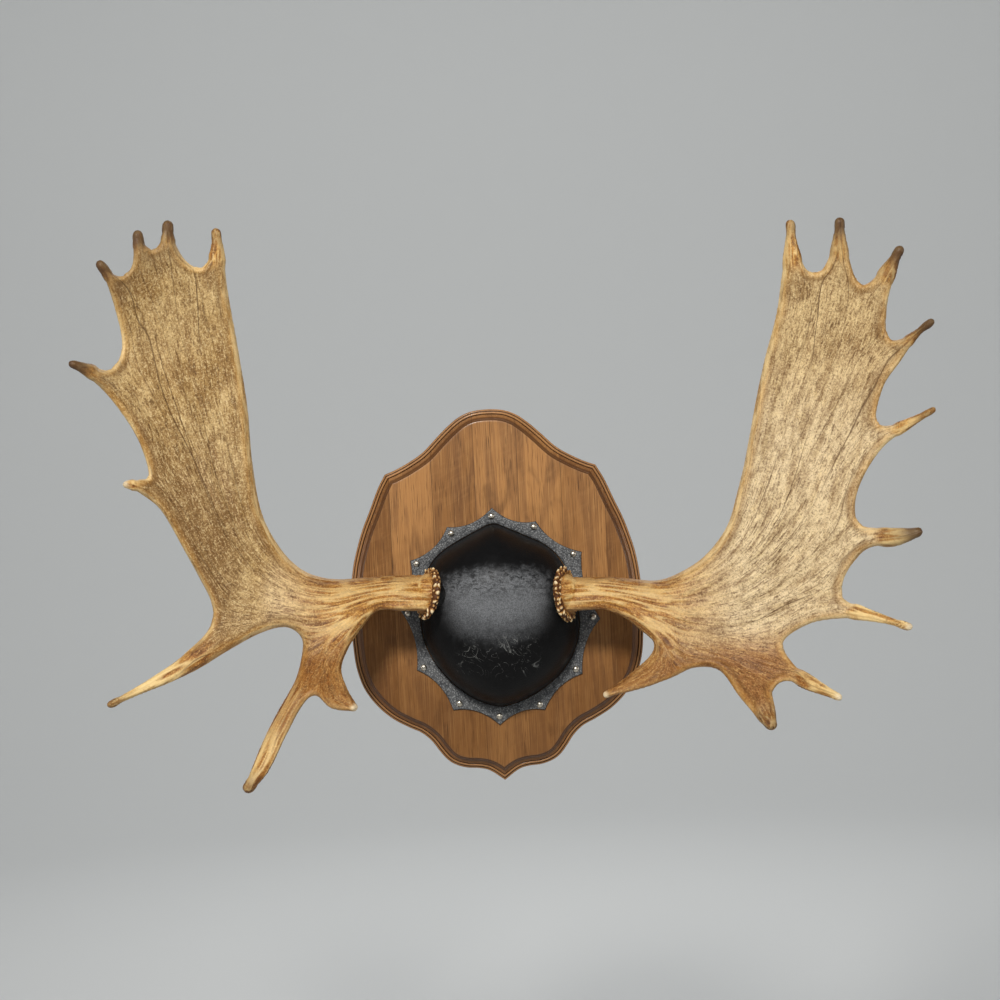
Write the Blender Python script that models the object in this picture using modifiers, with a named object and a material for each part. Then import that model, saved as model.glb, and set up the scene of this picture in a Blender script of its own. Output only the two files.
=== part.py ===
"""Moose antlers on a walnut shield plaque: metres, +Z up, the back of the plaque on the wall plane y = 0.

The origin is the centre of the plaque's back. The wall is on the +Y side, so the front faces -Y.
A depth below is a distance out from the wall, so y = -depth.
"""

import math

import bmesh
import bpy
import numpy as np
from mathutils import Matrix, Vector

MM = 0.001
GAP = 0.0003  # between pieces that touch

# Plaque: an 18 x 14 inch shield, cut from one glued-up walnut panel.
PLAQUE_T = 0.022
# Right half of the shield in mm, as smooth runs that meet at sharp corners.
SHOULDER = [(0, 229.5), (20, 227.6), (36, 221), (50, 210.5), (64, 197.5), (82, 180), (100, 168.5), (117, 160), (130, 155)]
FLANK = [(130, 155), (140, 137), (151, 111), (161, 88), (169, 64), (175, 40), (179, 8), (180, -25), (179, -55),
         (176, -82), (168, -107), (154, -128), (136, -145), (116, -157), (100, -165), (88, -175.5), (79, -188),
         (70, -199), (60, -206), (46, -210.5), (30, -212), (17, -216), (0, -228)]
# Edge moulding: (how far in from the outline, how far out from the wall), in mm.
MOULDING = [(0.0, 0.0), (0.0, 6.0), (2.4, 8.6), (2.8, 10.6), (5.2, 11.0), (5.6, 12.6), (9.0, 15.6), (11.2, 20.8),
            (12.6, 22.0)]
KEYHOLE_Z = 0.150  # centre of the entry hole routed in the back
KEYHOLE_R, KEYHOLE_SLOT, KEYHOLE_RUN, KEYHOLE_DEEP, KEYHOLE_LIP = 0.005, 0.0055, 0.014, 0.009, 0.0035

# Leather cap over the skull plate: its outline on the plaque in mm, clockwise from the top point.
CAP = [(0, 88), (21, 80), (42, 70), (60, 61), (74, 49), (84, 34), (92, 14), (97, -8), (99.5, -30), (98.5, -48),
       (94, -66), (86, -82), (74, -97), (58, -111), (38, -123), (18, -131), (0, -134.5), (-18, -130),
       (-36, -121), (-54, -107), (-68, -92), (-79, -76), (-87, -59), (-91.5, -42), (-93, -24), (-92, -4),
       (-88, 17), (-81, 36), (-72, 49), (-59, 60), (-41, 70), (-21, 80)]
CAP_CENTRE = (1.0, -14.0)
CAP_RISE = 0.082
# Leather trim: its twelve points in mm, clockwise from the top, and the tack by each point.
TRIM = [(0, 108), (53, 89), (107, 49), (126, -34), (101, -100), (53, -142), (-3, -158), (-59, -137), (-101, -86),
        (-118, -12), (-103, 48), (-56, 87)]
TACKS = [(-1, 97.5), (50, 82), (96.5, 46.5), (117, -31), (93, -94), (47, -135), (-3, -147), (-51, -129),
         (-92.5, -83), (-108.5, -15.5), (-95, 44), (-51, 79)]
TRIM_T, TRIM_SAG, TRIM_EASE = 0.0024, 0.0075, 0.0006
TACK_R, TACK_H, SHANK_R, SHANK_L, HOLE_R = 0.004, 0.0026, 0.0008, 0.011, 0.0012

# Antlers. Outline stations in mm (x, z) run from the top of the burr, round every tine, to the foot of the burr.
LEFT = [(-84, 31), (-123, 33), (-154, 32), (-183, 32), (-205, 36), (-228, 48), (-249, 73), (-266, 113), (-273, 166),
        (-275, 235), (-281, 304), (-287, 366), (-289, 415), (-295, 441), (-302, 415), (-309, 401), (-318, 396),
        (-330, 405), (-338, 422), (-344, 447), (-352, 427), (-361, 415), (-369, 420), (-376, 435), (-381, 418),
        (-385, 397), (-395, 386), (-404, 388), (-417, 399), (-412, 377), (-407, 348), (-404, 316), (-409, 292),
        (-419, 283), (-433, 288), (-451, 289), (-438, 276), (-424, 260), (-408, 235), (-392, 201), (-384, 165),
        (-393, 160), (-407, 155), (-392, 143), (-373, 123), (-355, 84), (-338, 45), (-326, 15), (-327, -10),
        (-354, -41), (-389, -64), (-431, -88), (-398, -78), (-358, -64), (-317, -45), (-276, -24), (-246, -18),
        (-228, -30), (-226, -48), (-233, -79), (-252, -121), (-269, -158), (-283, -188), (-261, -171), (-240, -131),
        (-224, -103), (-208, -93), (-187, -101), (-159, -103), (-171, -87), (-183, -68), (-179, -49), (-162, -26),
        (-139, -6), (-112, -7), (-84, -8)]
RIGHT = [(84, 20), (131, 19), (165, 15), (194, 13), (223, 24), (250, 43), (273, 74), (286, 113), (297, 155),
         (309, 209), (322, 263), (336, 313), (343, 357), (353, 419), (360, 388), (370, 361), (384, 358), (394, 376),
         (404, 415), (412, 379), (423, 342), (435, 341), (449, 357), (466, 374), (461, 349), (453, 315), (452, 280),
         (465, 275), (493, 290), (479, 274), (464, 250), (446, 223), (437, 187), (451, 180), (489, 193), (467, 175),
         (443, 156), (424, 129), (411, 97), (413, 71), (437, 65), (472, 60), (450, 46), (423, 43), (407, 29),
         (395, 8), (393, -12), (413, -24), (455, -45), (425, -39), (392, -36), (357, -42), (327, -62), (336, -86),
         (353, -100), (374, -119), (345, -112), (325, -104), (308, -112), (306, -129), (299, -148), (288, -136),
         (273, -116), (253, -91), (225, -86), (195, -96), (159, -105), (117, -110), (147, -91), (175, -72),
         (181, -57), (168, -43), (150, -28), (128, -18), (108, -17), (84, -17)]
# Stations in mm (x, z, depth of the mid-surface, half thickness).
LEFT_FORM = [(-74, 12, 85, 19), (-113, 13, 89, 19), (-154, 10, 97, 19), (-206, 4, 111, 20), (-255, 20, 127, 17),
             (-278, 108, 135, 11), (-275, 200, 140, 9), (-281, 292, 150, 9), (-295, 439, 190, 6),
             (-326, 191, 152, 7), (-335, 305, 167, 7), (-344, 445, 216, 6), (-376, 433, 232, 6),
             (-417, 397, 246, 5), (-450, 288, 256, 5), (-401, 311, 204, 8), (-380, 170, 190, 9),
             (-406, 154, 216, 5), (-327, 19, 160, 11), (-429, -87, 240, 5), (-348, -41, 185, 9),
             (-282, -186, 250, 5), (-243, -97, 188, 9), (-161, -101, 226, 5), (-200, -57, 150, 12)]
RIGHT_FORM = [(74, 2, 85, 19), (118, 2, 90, 19), (158, -4, 98, 19), (209, -18, 113, 20), (258, 0, 128, 17),
              (291, 103, 135, 11), (306, 184, 140, 9), (327, 274, 150, 9), (354, 417, 190, 6), (347, 158, 152, 7),
              (373, 271, 167, 7), (404, 413, 216, 6), (466, 372, 236, 5), (491, 289, 250, 5), (487, 193, 256, 5),
              (446, 269, 205, 8), (432, 175, 200, 8), (470, 59, 238, 5), (411, 75, 198, 9), (453, -44, 242, 5),
              (393, -26, 190, 8), (372, -117, 240, 5), (325, -92, 175, 9), (298, -146, 230, 5),
              (274, -101, 170, 9), (119, -110, 186, 5), (174, -81, 150, 9)]
# Burr: centre (x, z), tilt of its axis in degrees, ring radius and width, and the pedicle stub behind it, in mm.
LEFT_BURR, RIGHT_BURR = (-86, 10, 18), (84, 0, 8)
BURR_DEPTH, BURR_R, BURR_W, STUB_R, STUB_L = 85, 30, 11, 18.5, 9
# Cuts at the main forks, in mm: (x0, z0) to (x1, z1) across the antler.
LEFT_CUTS = {"palm": ((-245, 84), (-229.5, -60)), "brow": ((-229.6, -50), (-150, -42))}
RIGHT_CUTS = {"palm": ((254, 72), (262, -53.7)), "brow": ((336, -56), (150, -50))}
SHEET_VOXEL, SKIN_VOXEL, ANTLER_TRIS = 0.003, 0.0024, 2200


def spline(points, step):
    """Catmull-Rom curve through the points, as an array with points about `step` apart, last point left out."""
    p = np.array([2 * np.array(points[0]) - points[1], *points, 2 * np.array(points[-1]) - points[-2]], float)
    out = []
    for a, b, c, d in zip(p, p[1:], p[2:], p[3:]):
        t = np.arange(0, 1, 1 / max(1, round(float(np.hypot(*(c - b))) / step)))[:, None]
        out.append(0.5 * (2 * b + (c - a) * t + (2 * a - 5 * b + 4 * c - d) * t**2 + (3 * b - a - 3 * c + d) * t**3))
    return np.vstack(out)


def closed_spline(points, step):
    ring = [*points[-2:], *points, *points[:3]]
    p, out = np.array(ring, float), []
    for a, b, c, d in zip(p[1:], p[2:], p[3:], p[4:]):
        t = np.arange(0, 1, 1 / max(1, round(float(np.hypot(*(c - b))) / step)))[:, None]
        out.append(0.5 * (2 * b + (c - a) * t + (2 * a - 5 * b + 4 * c - d) * t**2 + (3 * b - a - 3 * c + d) * t**3))
    return np.vstack(out[: len(points)])


def new_object(name, data, collection):
    obj = bpy.data.objects.new(name, data)
    collection.objects.link(obj)
    return obj


def from_bmesh(name, bm, collection):
    bmesh.ops.remove_doubles(bm, verts=bm.verts, dist=1e-6)
    bmesh.ops.recalc_face_normals(bm, faces=bm.faces)
    mesh = bpy.data.meshes.new(name)
    bm.to_mesh(mesh)
    bm.free()
    return new_object(name, mesh, collection)


def loft(name, rings, collection):
    """A closed body through rings of points that match one to one, capped at both ends."""
    bm = bmesh.new()
    rows = [[bm.verts.new(p) for p in ring] for ring in rings]
    for low, high in zip(rows, rows[1:]):
        if len(high) == 1:
            for i in range(len(low)):
                bm.faces.new((low[i], low[(i + 1) % len(low)], high[0]))
        else:
            for i in range(len(low)):
                j = (i + 1) % len(low)
                bm.faces.new((low[i], low[j], high[j], high[i]))
    bm.faces.new(rows[0])
    if len(rows[-1]) > 1:
        bm.faces.new(rows[-1])
    return from_bmesh(name, bm, collection)


def plate(name, loops, thick, y, collection):
    """Flat sheet bounded by closed loops of (x, z), its back at y and its front at y - thick."""
    curve = bpy.data.curves.new(name, "CURVE")
    curve.dimensions, curve.fill_mode, curve.extrude = "2D", "BOTH", thick / 2
    for loop in loops:
        run = curve.splines.new("POLY")
        run.points.add(len(loop) - 1)
        for point, (x, z) in zip(run.points, loop):
            point.co = (x, z, 0, 1)
        run.use_cyclic_u = True
    flat = new_object(name + "_outline", curve, collection)
    flat.matrix_world = Matrix.Translation((0, y - thick / 2, 0)) @ Matrix.Rotation(math.pi / 2, 4, "X")
    bpy.context.view_layer.update()
    mesh = bpy.data.meshes.new_from_object(flat.evaluated_get(bpy.context.evaluated_depsgraph_get()))
    mesh.transform(flat.matrix_world)
    bpy.data.objects.remove(flat)
    bm = bmesh.new()
    bm.from_mesh(mesh)
    bpy.data.meshes.remove(mesh)
    return from_bmesh(name, bm, collection)


def cylinder(bm, radius, length, matrix, sides=24, radius2=None):
    bmesh.ops.create_cone(bm, cap_ends=True, segments=sides, radius1=radius, radius2=radius if radius2 is None else radius2,
                          depth=length, matrix=matrix)


def cut(obj, cutter, name):
    modifier = obj.modifiers.new(name, "BOOLEAN")
    modifier.operation, modifier.solver, modifier.object = "DIFFERENCE", "EXACT", cutter


def as_cutter(obj):
    obj.hide_render, obj.display_type = True, "WIRE"
    return obj


def material(name, colour, roughness, metallic=0.0):
    made = bpy.data.materials.new(name)
    made.use_nodes = True
    made.diffuse_color = (*colour, 1)
    shader = made.node_tree.nodes["Principled BSDF"]
    shader.inputs["Base Color"].default_value = (*colour, 1)
    shader.inputs["Roughness"].default_value = roughness
    shader.inputs["Metallic"].default_value = metallic
    return made


def paint(obj, made, smooth=True):
    obj.data.materials.clear()
    obj.data.materials.append(made)
    obj.data.polygons.foreach_set("use_smooth", [smooth] * len(obj.data.polygons))


# ---------------------------------------------------------------- plaque


def inset(runs, delta):
    """The outline moved in by delta, mitred at the corners; runs go clockwise and each starts at a corner."""
    out = []
    for k, run in enumerate(runs):
        along = np.gradient(run, axis=0)
        along /= np.linalg.norm(along, axis=1)[:, None]
        inward = np.c_[along[:, 1], -along[:, 0]]
        before = runs[k - 1][-1] - runs[k - 1][-2]
        after = runs[(k + 1) % len(runs)][1] - runs[(k + 1) % len(runs)][0]
        moved = run + inward * delta
        ends = []
        for at, one, two in ((0, before, along[0]), (-1, along[-1], after)):
            one, two = one / np.linalg.norm(one), two / np.linalg.norm(two)
            n1, n2 = np.array((one[1], -one[0])), np.array((two[1], -two[0]))
            mitre = (n1 + n2) / (1 + n1 @ n2)
            ends.append(run[at] + mitre * delta)
            across = np.array((-mitre[1], mitre[0]))
            side = across * np.sign(across @ (run[len(run) // 2] - run[at]))
            moved = moved[(moved - run[at]) @ side > 1e-4 * (delta > 0)] if delta > 0 else moved
        if delta > 0:
            moved = np.vstack([ends[0], moved, ends[1]])
        length = np.r_[0, np.cumsum(np.linalg.norm(np.diff(moved, axis=0), axis=1))]
        at = np.linspace(0, length[-1], max(8, len(run) // 4))[:-1]
        out.append(np.c_[np.interp(at, length, moved[:, 0]), np.interp(at, length, moved[:, 1])])
    return np.vstack(out)


def build_plaque(parts, cutters):
    mirror = lambda pts: [(-x, z) for x, z in pts[::-1]]
    close = lambda pts, step: np.vstack([spline(pts, step), pts[-1]]) * MM
    top = close(mirror(SHOULDER)[:-1] + SHOULDER, 4)
    right, left = close(FLANK, 4), close(mirror(FLANK), 4)
    rings = []
    for delta, out in MOULDING:
        ring = inset([top, right, left], delta * MM)
        rings.append([(x, -out * MM, z) for x, z in ring])
    body = loft("plaque", rings, parts)
    bm = bmesh.new()
    lay = Matrix.Rotation(math.pi / 2, 4, "X")
    cylinder(bm, KEYHOLE_R, KEYHOLE_DEEP + 0.004, Matrix.Translation((0, 0.002 - KEYHOLE_DEEP / 2, KEYHOLE_Z)) @ lay, 20)
    entry = as_cutter(from_bmesh("keyhole_entry", bm, cutters))
    bm = bmesh.new()
    bmesh.ops.create_cube(bm, size=1, matrix=Matrix.Translation((0, 0.002 - KEYHOLE_DEEP / 2, KEYHOLE_Z + KEYHOLE_RUN / 2))
                          @ Matrix.Diagonal((KEYHOLE_SLOT, KEYHOLE_DEEP + 0.004, KEYHOLE_RUN, 1)))
    slot = as_cutter(from_bmesh("keyhole_slot", bm, cutters))
    bm = bmesh.new()
    deep = KEYHOLE_DEEP - KEYHOLE_LIP
    bmesh.ops.create_cube(bm, size=1, matrix=Matrix.Translation((0, -KEYHOLE_LIP - deep / 2, KEYHOLE_Z + KEYHOLE_RUN / 2))
                          @ Matrix.Diagonal((2 * KEYHOLE_R - 0.0004, deep - 0.0004, KEYHOLE_RUN + 0.001, 1)))
    under = as_cutter(from_bmesh("keyhole_undercut", bm, cutters))
    for cutter in (entry, slot, under):
        cut(body, cutter, cutter.name)
    return body


# ---------------------------------------------------------------- leather and tacks


def build_leather(parts, cutters):
    base = closed_spline(CAP, 14) * MM
    centre = np.array(CAP_CENTRE) * MM
    rings = []
    for r in (1.0, 0.99, 0.965, 0.925, 0.86, 0.77, 0.65, 0.5, 0.3, 0.0):
        out = PLAQUE_T + GAP + (CAP_RISE * (1 - r**3.4) ** 0.62 if r < 1 else 0)
        ring = centre + (base - centre) * r
        rings.append([(x, -out, z) for x, z in (ring if r else ring[:1])])
    cap = loft("leather_cap", rings, parts)
    cap.modifiers.new("weld", "WELD").merge_threshold = 0.0001
    for side, (x, z, tilt) in (("left", LEFT_BURR), ("right", RIGHT_BURR)):
        bm = bmesh.new()
        away = burr_matrix(x, z, tilt)
        cylinder(bm, (BURR_R + 3.5) * MM, 0.06, away @ Matrix.Translation((0, 0, 0.03 - (BURR_W / 2 + 1.2) * MM)), 32)
        seat = as_cutter(from_bmesh(f"burr_seat_{side}", bm, cutters))
        bm = bmesh.new()
        cylinder(bm, (STUB_R + 3.2) * MM, (STUB_L + BURR_W) * MM,
                 away @ Matrix.Translation((0, 0, -(STUB_L + 1.8 + BURR_W / 2) * MM + (STUB_L + BURR_W) * MM / 2)), 28)
        socket = as_cutter(from_bmesh(f"pedicle_socket_{side}", bm, cutters))
        cut(cap, seat, seat.name)
        cut(cap, socket, socket.name)
    outer = []
    corners = np.array(TRIM, float) * MM
    for a, b in zip(corners, np.roll(corners, -1, axis=0)):
        t = np.linspace(0, 1, 9)[:-1, None]
        mid = (a + b) / 2
        toward = (centre - mid) / np.linalg.norm(centre - mid)
        outer.append(a + (b - a) * t + toward * TRIM_SAG * 4 * t * (1 - t))
    inner = centre + (base - centre) * 1.0 + (base - centre) / np.linalg.norm(base - centre, axis=1)[:, None] * TRIM_EASE
    trim = plate("leather_trim", [np.vstack(outer), inner], TRIM_T, -PLAQUE_T - GAP, parts)
    return cap, trim


def build_tacks(parts, cutters, plaque, trim, brass):
    lay = Matrix.Rotation(math.pi / 2, 4, "X")  # local +Z points to the front
    holes = bmesh.new()
    top = PLAQUE_T + TRIM_T + 2 * GAP
    for number, (x, z) in enumerate(TACKS, 1):
        bm = bmesh.new()
        profile = [(0.0, -SHANK_L), (SHANK_R, -SHANK_L + 0.0012), (SHANK_R, 0.0), (TACK_R, 0.0),
                   (TACK_R * 0.82, TACK_H * 0.6), (0.0, TACK_H)]
        path = [bm.verts.new((r, 0, h)) for r, h in profile]
        edges = [bm.edges.new(pair) for pair in zip(path, path[1:])]
        bmesh.ops.spin(bm, geom=[*path, *edges], axis=(0, 0, 1), cent=(0, 0, 0), steps=10, angle=2 * math.pi)
        bmesh.ops.transform(bm, verts=bm.verts, matrix=Matrix.Translation((x * MM, -top, z * MM)) @ lay)
        paint(from_bmesh(f"tack_{number:02d}", bm, parts), brass)
        cylinder(holes, HOLE_R, SHANK_L + 0.008, Matrix.Translation((x * MM, -top + SHANK_L / 2 - 0.003, z * MM)) @ lay, 8)
    drill = as_cutter(from_bmesh("tack_holes", holes, cutters))
    cut(plaque, drill, "tack_holes")
    cut(trim, drill, "tack_holes")


# ---------------------------------------------------------------- antlers


def burr_matrix(x, z, tilt):
    """Frame of a burr: its local +Z runs out along the beam."""
    side = math.copysign(1, x)
    axis = Vector((side * math.cos(math.radians(tilt)), 0, math.sin(math.radians(tilt))))
    return Matrix.Translation((x * MM, -BURR_DEPTH * MM, z * MM)) @ axis.to_track_quat("Z", "Y").to_matrix().to_4x4()


def surface(stations):
    """Smooth map through measured stations: thin-plate spline of (x, z) to (depth, half thickness), in metres."""
    s = np.array(stations, float) / 100
    points, values = s[:, :2], s[:, 2:]
    kernel = lambda a, b: (lambda r: r * r * np.log(r + 1e-9))(np.linalg.norm(a[:, None] - b[None], axis=-1))
    n = len(points)
    system = np.zeros((n + 3, n + 3))
    system[:n, :n] = kernel(points, points) + 0.004 * np.eye(n)
    system[:n, n:] = np.c_[np.ones(n), points]
    system[n:, :n] = system[:n, n:].T
    weights = np.linalg.solve(system, np.vstack([values, np.zeros((3, 2))]))

    def at(xz):
        q = xz / (100 * MM)
        return (kernel(q, points) @ weights[:n] + np.c_[np.ones(len(q)), q] @ weights[n:]) * 100 * MM

    return at


def edge_distance(points, loop):
    best = np.full(len(points), 9.0)
    for a, b in zip(loop, np.roll(loop, -1, axis=0)):
        t = np.clip((points - a) @ (b - a) / max((b - a) @ (b - a), 1e-12), 0, 1)[:, None]
        best = np.minimum(best, np.linalg.norm(points - a - (b - a) * t, axis=1))
    return best


def apply_modifiers(obj):
    bpy.context.view_layer.update()
    mesh = bpy.data.meshes.new_from_object(obj.evaluated_get(bpy.context.evaluated_depsgraph_get()))
    obj.modifiers.clear()
    obj.data = mesh
    return mesh


def remesh(obj, voxel, rounds=0):
    modifier = obj.modifiers.new("skin", "REMESH")
    modifier.mode, modifier.voxel_size = "VOXEL", voxel
    if rounds:
        ease = obj.modifiers.new("ease", "SMOOTH")
        ease.factor, ease.iterations = 0.5, rounds
    return apply_modifiers(obj)


def islands(bm):
    """The vertices of each separate shell."""
    found, seen = [], set()
    for seed in bm.verts:
        if seed in seen:
            continue
        stack, group = [seed], []
        seen.add(seed)
        while stack:
            vert = stack.pop()
            group.append(vert)
            fresh = [v for v in (e.other_vert(vert) for e in vert.link_edges) if v not in seen]
            seen.update(fresh)
            stack += fresh
        found.append(group)
    return found


def build_antler(side, stations, form, burr, cuts, parts, cutters, horn):
    loop = spline(stations, 9) * MM
    loop = np.vstack([loop, np.array(stations[-1]) * MM])
    half = 0.009
    body = plate(f"antler_{side}", [loop], 2 * half, half, parts)
    mesh = remesh(body, SHEET_VOXEL)
    co = np.empty(len(mesh.vertices) * 3, np.float32)
    mesh.vertices.foreach_get("co", co)
    co = co.reshape(-1, 3).astype(float)
    depth, thick = surface(form)(co[:, [0, 2]]).T
    thick = np.clip(thick, 0.0045, 0.021)
    inside = np.minimum(edge_distance(co[:, [0, 2]], loop) / thick, 1)
    rise = np.maximum(thick * np.sqrt(1 - (1 - inside) ** 2), 0.003)
    co[:, 1] = -depth + np.clip(co[:, 1] / half, -1, 1) * rise
    mesh.vertices.foreach_set("co", co.astype(np.float32).ravel())
    bm = bmesh.new()
    bm.from_mesh(mesh)
    away = burr_matrix(*burr)
    width = BURR_W * MM
    for radius, radius2, length, low in ((BURR_R - 4, BURR_R, width * 0.4, -width / 2), (BURR_R, STUB_R + 2, width * 0.9, -width * 0.1),
                                         (STUB_R, STUB_R, STUB_L * MM + width, -width / 2 - STUB_L * MM)):
        cylinder(bm, radius * MM, length, away @ Matrix.Translation((0, 0, low + length / 2)), 28, radius2 * MM)
    bm.to_mesh(mesh)
    bm.free()
    remesh(body, SKIN_VOXEL, 3)
    fewer = body.modifiers.new("fewer", "DECIMATE")
    body.data.calc_loop_triangles()
    fewer.ratio = ANTLER_TRIS / len(body.data.loop_triangles)
    apply_modifiers(body)
    for name, ((x0, z0), (x1, z1)) in cuts.items():
        bm = bmesh.new()
        a, b = Vector((x0, 0, z0)) * MM, Vector((x1, 0, z1)) * MM
        turn = Matrix.Rotation(-math.atan2(b.z - a.z, b.x - a.x), 4, "Y")
        bmesh.ops.create_cube(bm, size=1, matrix=Matrix.Translation((a + b) / 2 - Vector((0, 0.15, 0))) @ turn
                              @ Matrix.Diagonal(((b - a).length, 0.2, GAP, 1)))
        saw = as_cutter(from_bmesh(f"fork_cut_{side}_{name}", bm, cutters))
        cut(body, saw, saw.name)
    apply_modifiers(body)
    bm = bmesh.new()
    bm.from_mesh(body.data)
    groups = [group for group in islands(bm) if len(group) > 40]
    named = {}
    for group in groups:
        box = np.array([v.co for v in group])
        if np.abs(box[:, 0]).min() < 0.095:
            named["beam"] = group
        elif box[:, 2].max() > 0.2:
            named["palm"] = group
        else:
            named["brow"] = group
    for name, group in named.items():
        piece = bm.copy()
        keep = {v.index for v in group}
        bmesh.ops.delete(piece, geom=[v for v in piece.verts if v.index not in keep], context="VERTS")
        paint(from_bmesh(f"antler_{side}_{name}", piece, parts), horn)
    bm.free()
    bpy.data.objects.remove(body)


def main():
    for obj in list(bpy.data.objects):
        bpy.data.objects.remove(obj)
    parts = bpy.data.collections.new("moose_antler_plaque")
    cutters = bpy.data.collections.new("cutters")
    cutters.hide_render = True
    for collection in (parts, cutters):
        bpy.context.scene.collection.children.link(collection)
    walnut = material("walnut", (0.24, 0.12, 0.05), 0.42)
    hide = material("black_leather", (0.03, 0.03, 0.032), 0.5)
    strap = material("grey_leather", (0.11, 0.12, 0.13), 0.65)
    nickel = material("nickel", (0.75, 0.73, 0.68), 0.3, 1.0)
    horn = material("antler", (0.55, 0.36, 0.17), 0.5)
    plaque = build_plaque(parts, cutters)
    cap, trim = build_leather(parts, cutters)
    build_tacks(parts, cutters, plaque, trim, nickel)
    paint(plaque, walnut, False)
    paint(cap, hide)
    paint(trim, strap, False)
    build_antler("left", LEFT, LEFT_FORM, LEFT_BURR, LEFT_CUTS, parts, cutters, horn)
    build_antler("right", RIGHT, RIGHT_FORM, RIGHT_BURR, RIGHT_CUTS, parts, cutters, horn)


main()
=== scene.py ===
"""Moose antlers on a walnut shield plaque: the finished look, as a Blender add-on run as a script.

Row frame: metres, +Z up, the wall is the plane y = 0 behind the plaque and the front faces -Y.
A depth is a distance out from the wall, so y = -depth.
"""

import math
from types import SimpleNamespace

import bpy
import numpy as np
from bpy.props import FloatProperty, FloatVectorProperty, IntProperty, PointerProperty
from mathutils import Matrix, Vector


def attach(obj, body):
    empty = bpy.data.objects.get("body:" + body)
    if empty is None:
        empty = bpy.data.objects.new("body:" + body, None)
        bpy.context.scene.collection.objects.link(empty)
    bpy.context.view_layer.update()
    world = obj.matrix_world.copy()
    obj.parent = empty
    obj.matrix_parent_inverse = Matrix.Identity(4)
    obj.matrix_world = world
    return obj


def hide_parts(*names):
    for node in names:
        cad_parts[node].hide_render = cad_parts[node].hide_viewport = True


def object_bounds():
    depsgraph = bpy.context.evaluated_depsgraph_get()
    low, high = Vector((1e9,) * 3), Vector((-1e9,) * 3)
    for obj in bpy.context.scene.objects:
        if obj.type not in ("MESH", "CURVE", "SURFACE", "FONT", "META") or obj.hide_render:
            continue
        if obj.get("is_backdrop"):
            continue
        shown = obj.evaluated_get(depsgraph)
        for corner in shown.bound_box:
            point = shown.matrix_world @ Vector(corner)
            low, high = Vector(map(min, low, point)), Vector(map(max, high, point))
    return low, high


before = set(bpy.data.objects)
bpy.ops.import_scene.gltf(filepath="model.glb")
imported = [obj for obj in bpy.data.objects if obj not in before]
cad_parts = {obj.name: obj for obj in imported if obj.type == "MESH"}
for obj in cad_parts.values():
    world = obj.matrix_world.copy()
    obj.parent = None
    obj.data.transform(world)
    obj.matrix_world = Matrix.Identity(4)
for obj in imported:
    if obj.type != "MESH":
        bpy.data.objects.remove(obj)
CAD_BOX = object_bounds()

bl_info = {
    "name": "Antler Plaque Mount",
    "version": (1, 0, 0),
    "blender": (4, 5, 0),
    "location": "3D View > Sidebar > Antler Mount",
    "description": "Builds a pair of moose antlers on a leather-trimmed walnut shield",
    "category": "Add Mesh",
}

MM = 0.001
TACKS = [f"tack_{number:02d}" for number in range(1, 13)]

# ------------------------------------------------------------------ measured drawing, in millimetres

SHOULDER = [(0, 229.5), (20, 227.6), (36, 221), (50, 210.5), (64, 197.5), (82, 180), (100, 168.5),
            (117, 160), (130, 155)]
FLANK = [(130, 155), (140, 137), (151, 111), (161, 88), (169, 64), (175, 40), (179, 8), (180, -25),
         (179, -55), (176, -82), (168, -107), (154, -128), (136, -145), (116, -157), (100, -165),
         (88, -175.5), (79, -188), (70, -199), (60, -206), (46, -210.5), (30, -212), (17, -216),
         (0, -228)]
# Edge moulding: (in from the outline, out from the wall), and how far it is stretched inwards.
MOULDING = [(0.0, 0.0), (0.0, 5.0), (0.15, 6.0), (0.6, 7.0), (1.2, 7.6), (1.8, 7.8), (2.0, 7.7),
            (2.1, 6.9), (2.6, 6.8), (2.7, 9.6), (3.0, 10.3), (3.6, 10.8), (4.3, 10.9), (4.8, 10.7),
            (5.0, 10.2), (5.05, 9.3), (5.6, 9.2), (5.7, 12.0), (6.1, 12.7), (7.0, 13.1), (8.0, 13.7),
            (9.0, 14.9), (9.8, 16.6), (10.3, 18.3), (10.7, 19.7), (11.0, 20.4), (11.5, 20.8),
            (11.8, 21.0), (11.9, 21.7), (12.5, 22.0)]
MOULDING_STRETCH = 1.2
# Keyhole in the back: height of its entry, run up to the slot's top, radii of entry, slot and head room,
# depth and lip.
KEYHOLE_Z, KEYHOLE_RUN = 150, 14
ENTRY_R, SLOT_R, HEAD_R = 5.0, 2.75, 4.8
KEYHOLE_DEEP, KEYHOLE_LIP = 9, 3.5

# Leather: the cap's middle, foot and outline, the trim's twelve points, and the tack by each point.
CAP_MIDDLE, CAP_FOOT = (1.0, -14.0), 22.3
CAP = [(0, 88), (21, 80), (42, 70), (60, 61), (74, 49), (84, 34), (92, 14), (97, -8), (99.5, -30),
       (98.5, -48), (94, -66), (86, -82), (74, -97), (58, -111), (38, -123), (18, -131), (0, -134.5),
       (-18, -130), (-36, -121), (-54, -107), (-68, -92), (-79, -76), (-87, -59), (-91.5, -42),
       (-93, -24), (-92, -4), (-88, 17), (-81, 36), (-72, 49), (-59, 60), (-41, 70), (-21, 80)]
TRIM = [(0, 108), (53, 89), (107, 49), (126, -34), (101, -100), (53, -142), (-3, -158), (-59, -137),
        (-101, -86), (-118, -12), (-103, 48), (-56, 87)]
TRIM_SAG = 7.5  # how far each edge of the trim bows in between two points
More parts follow.
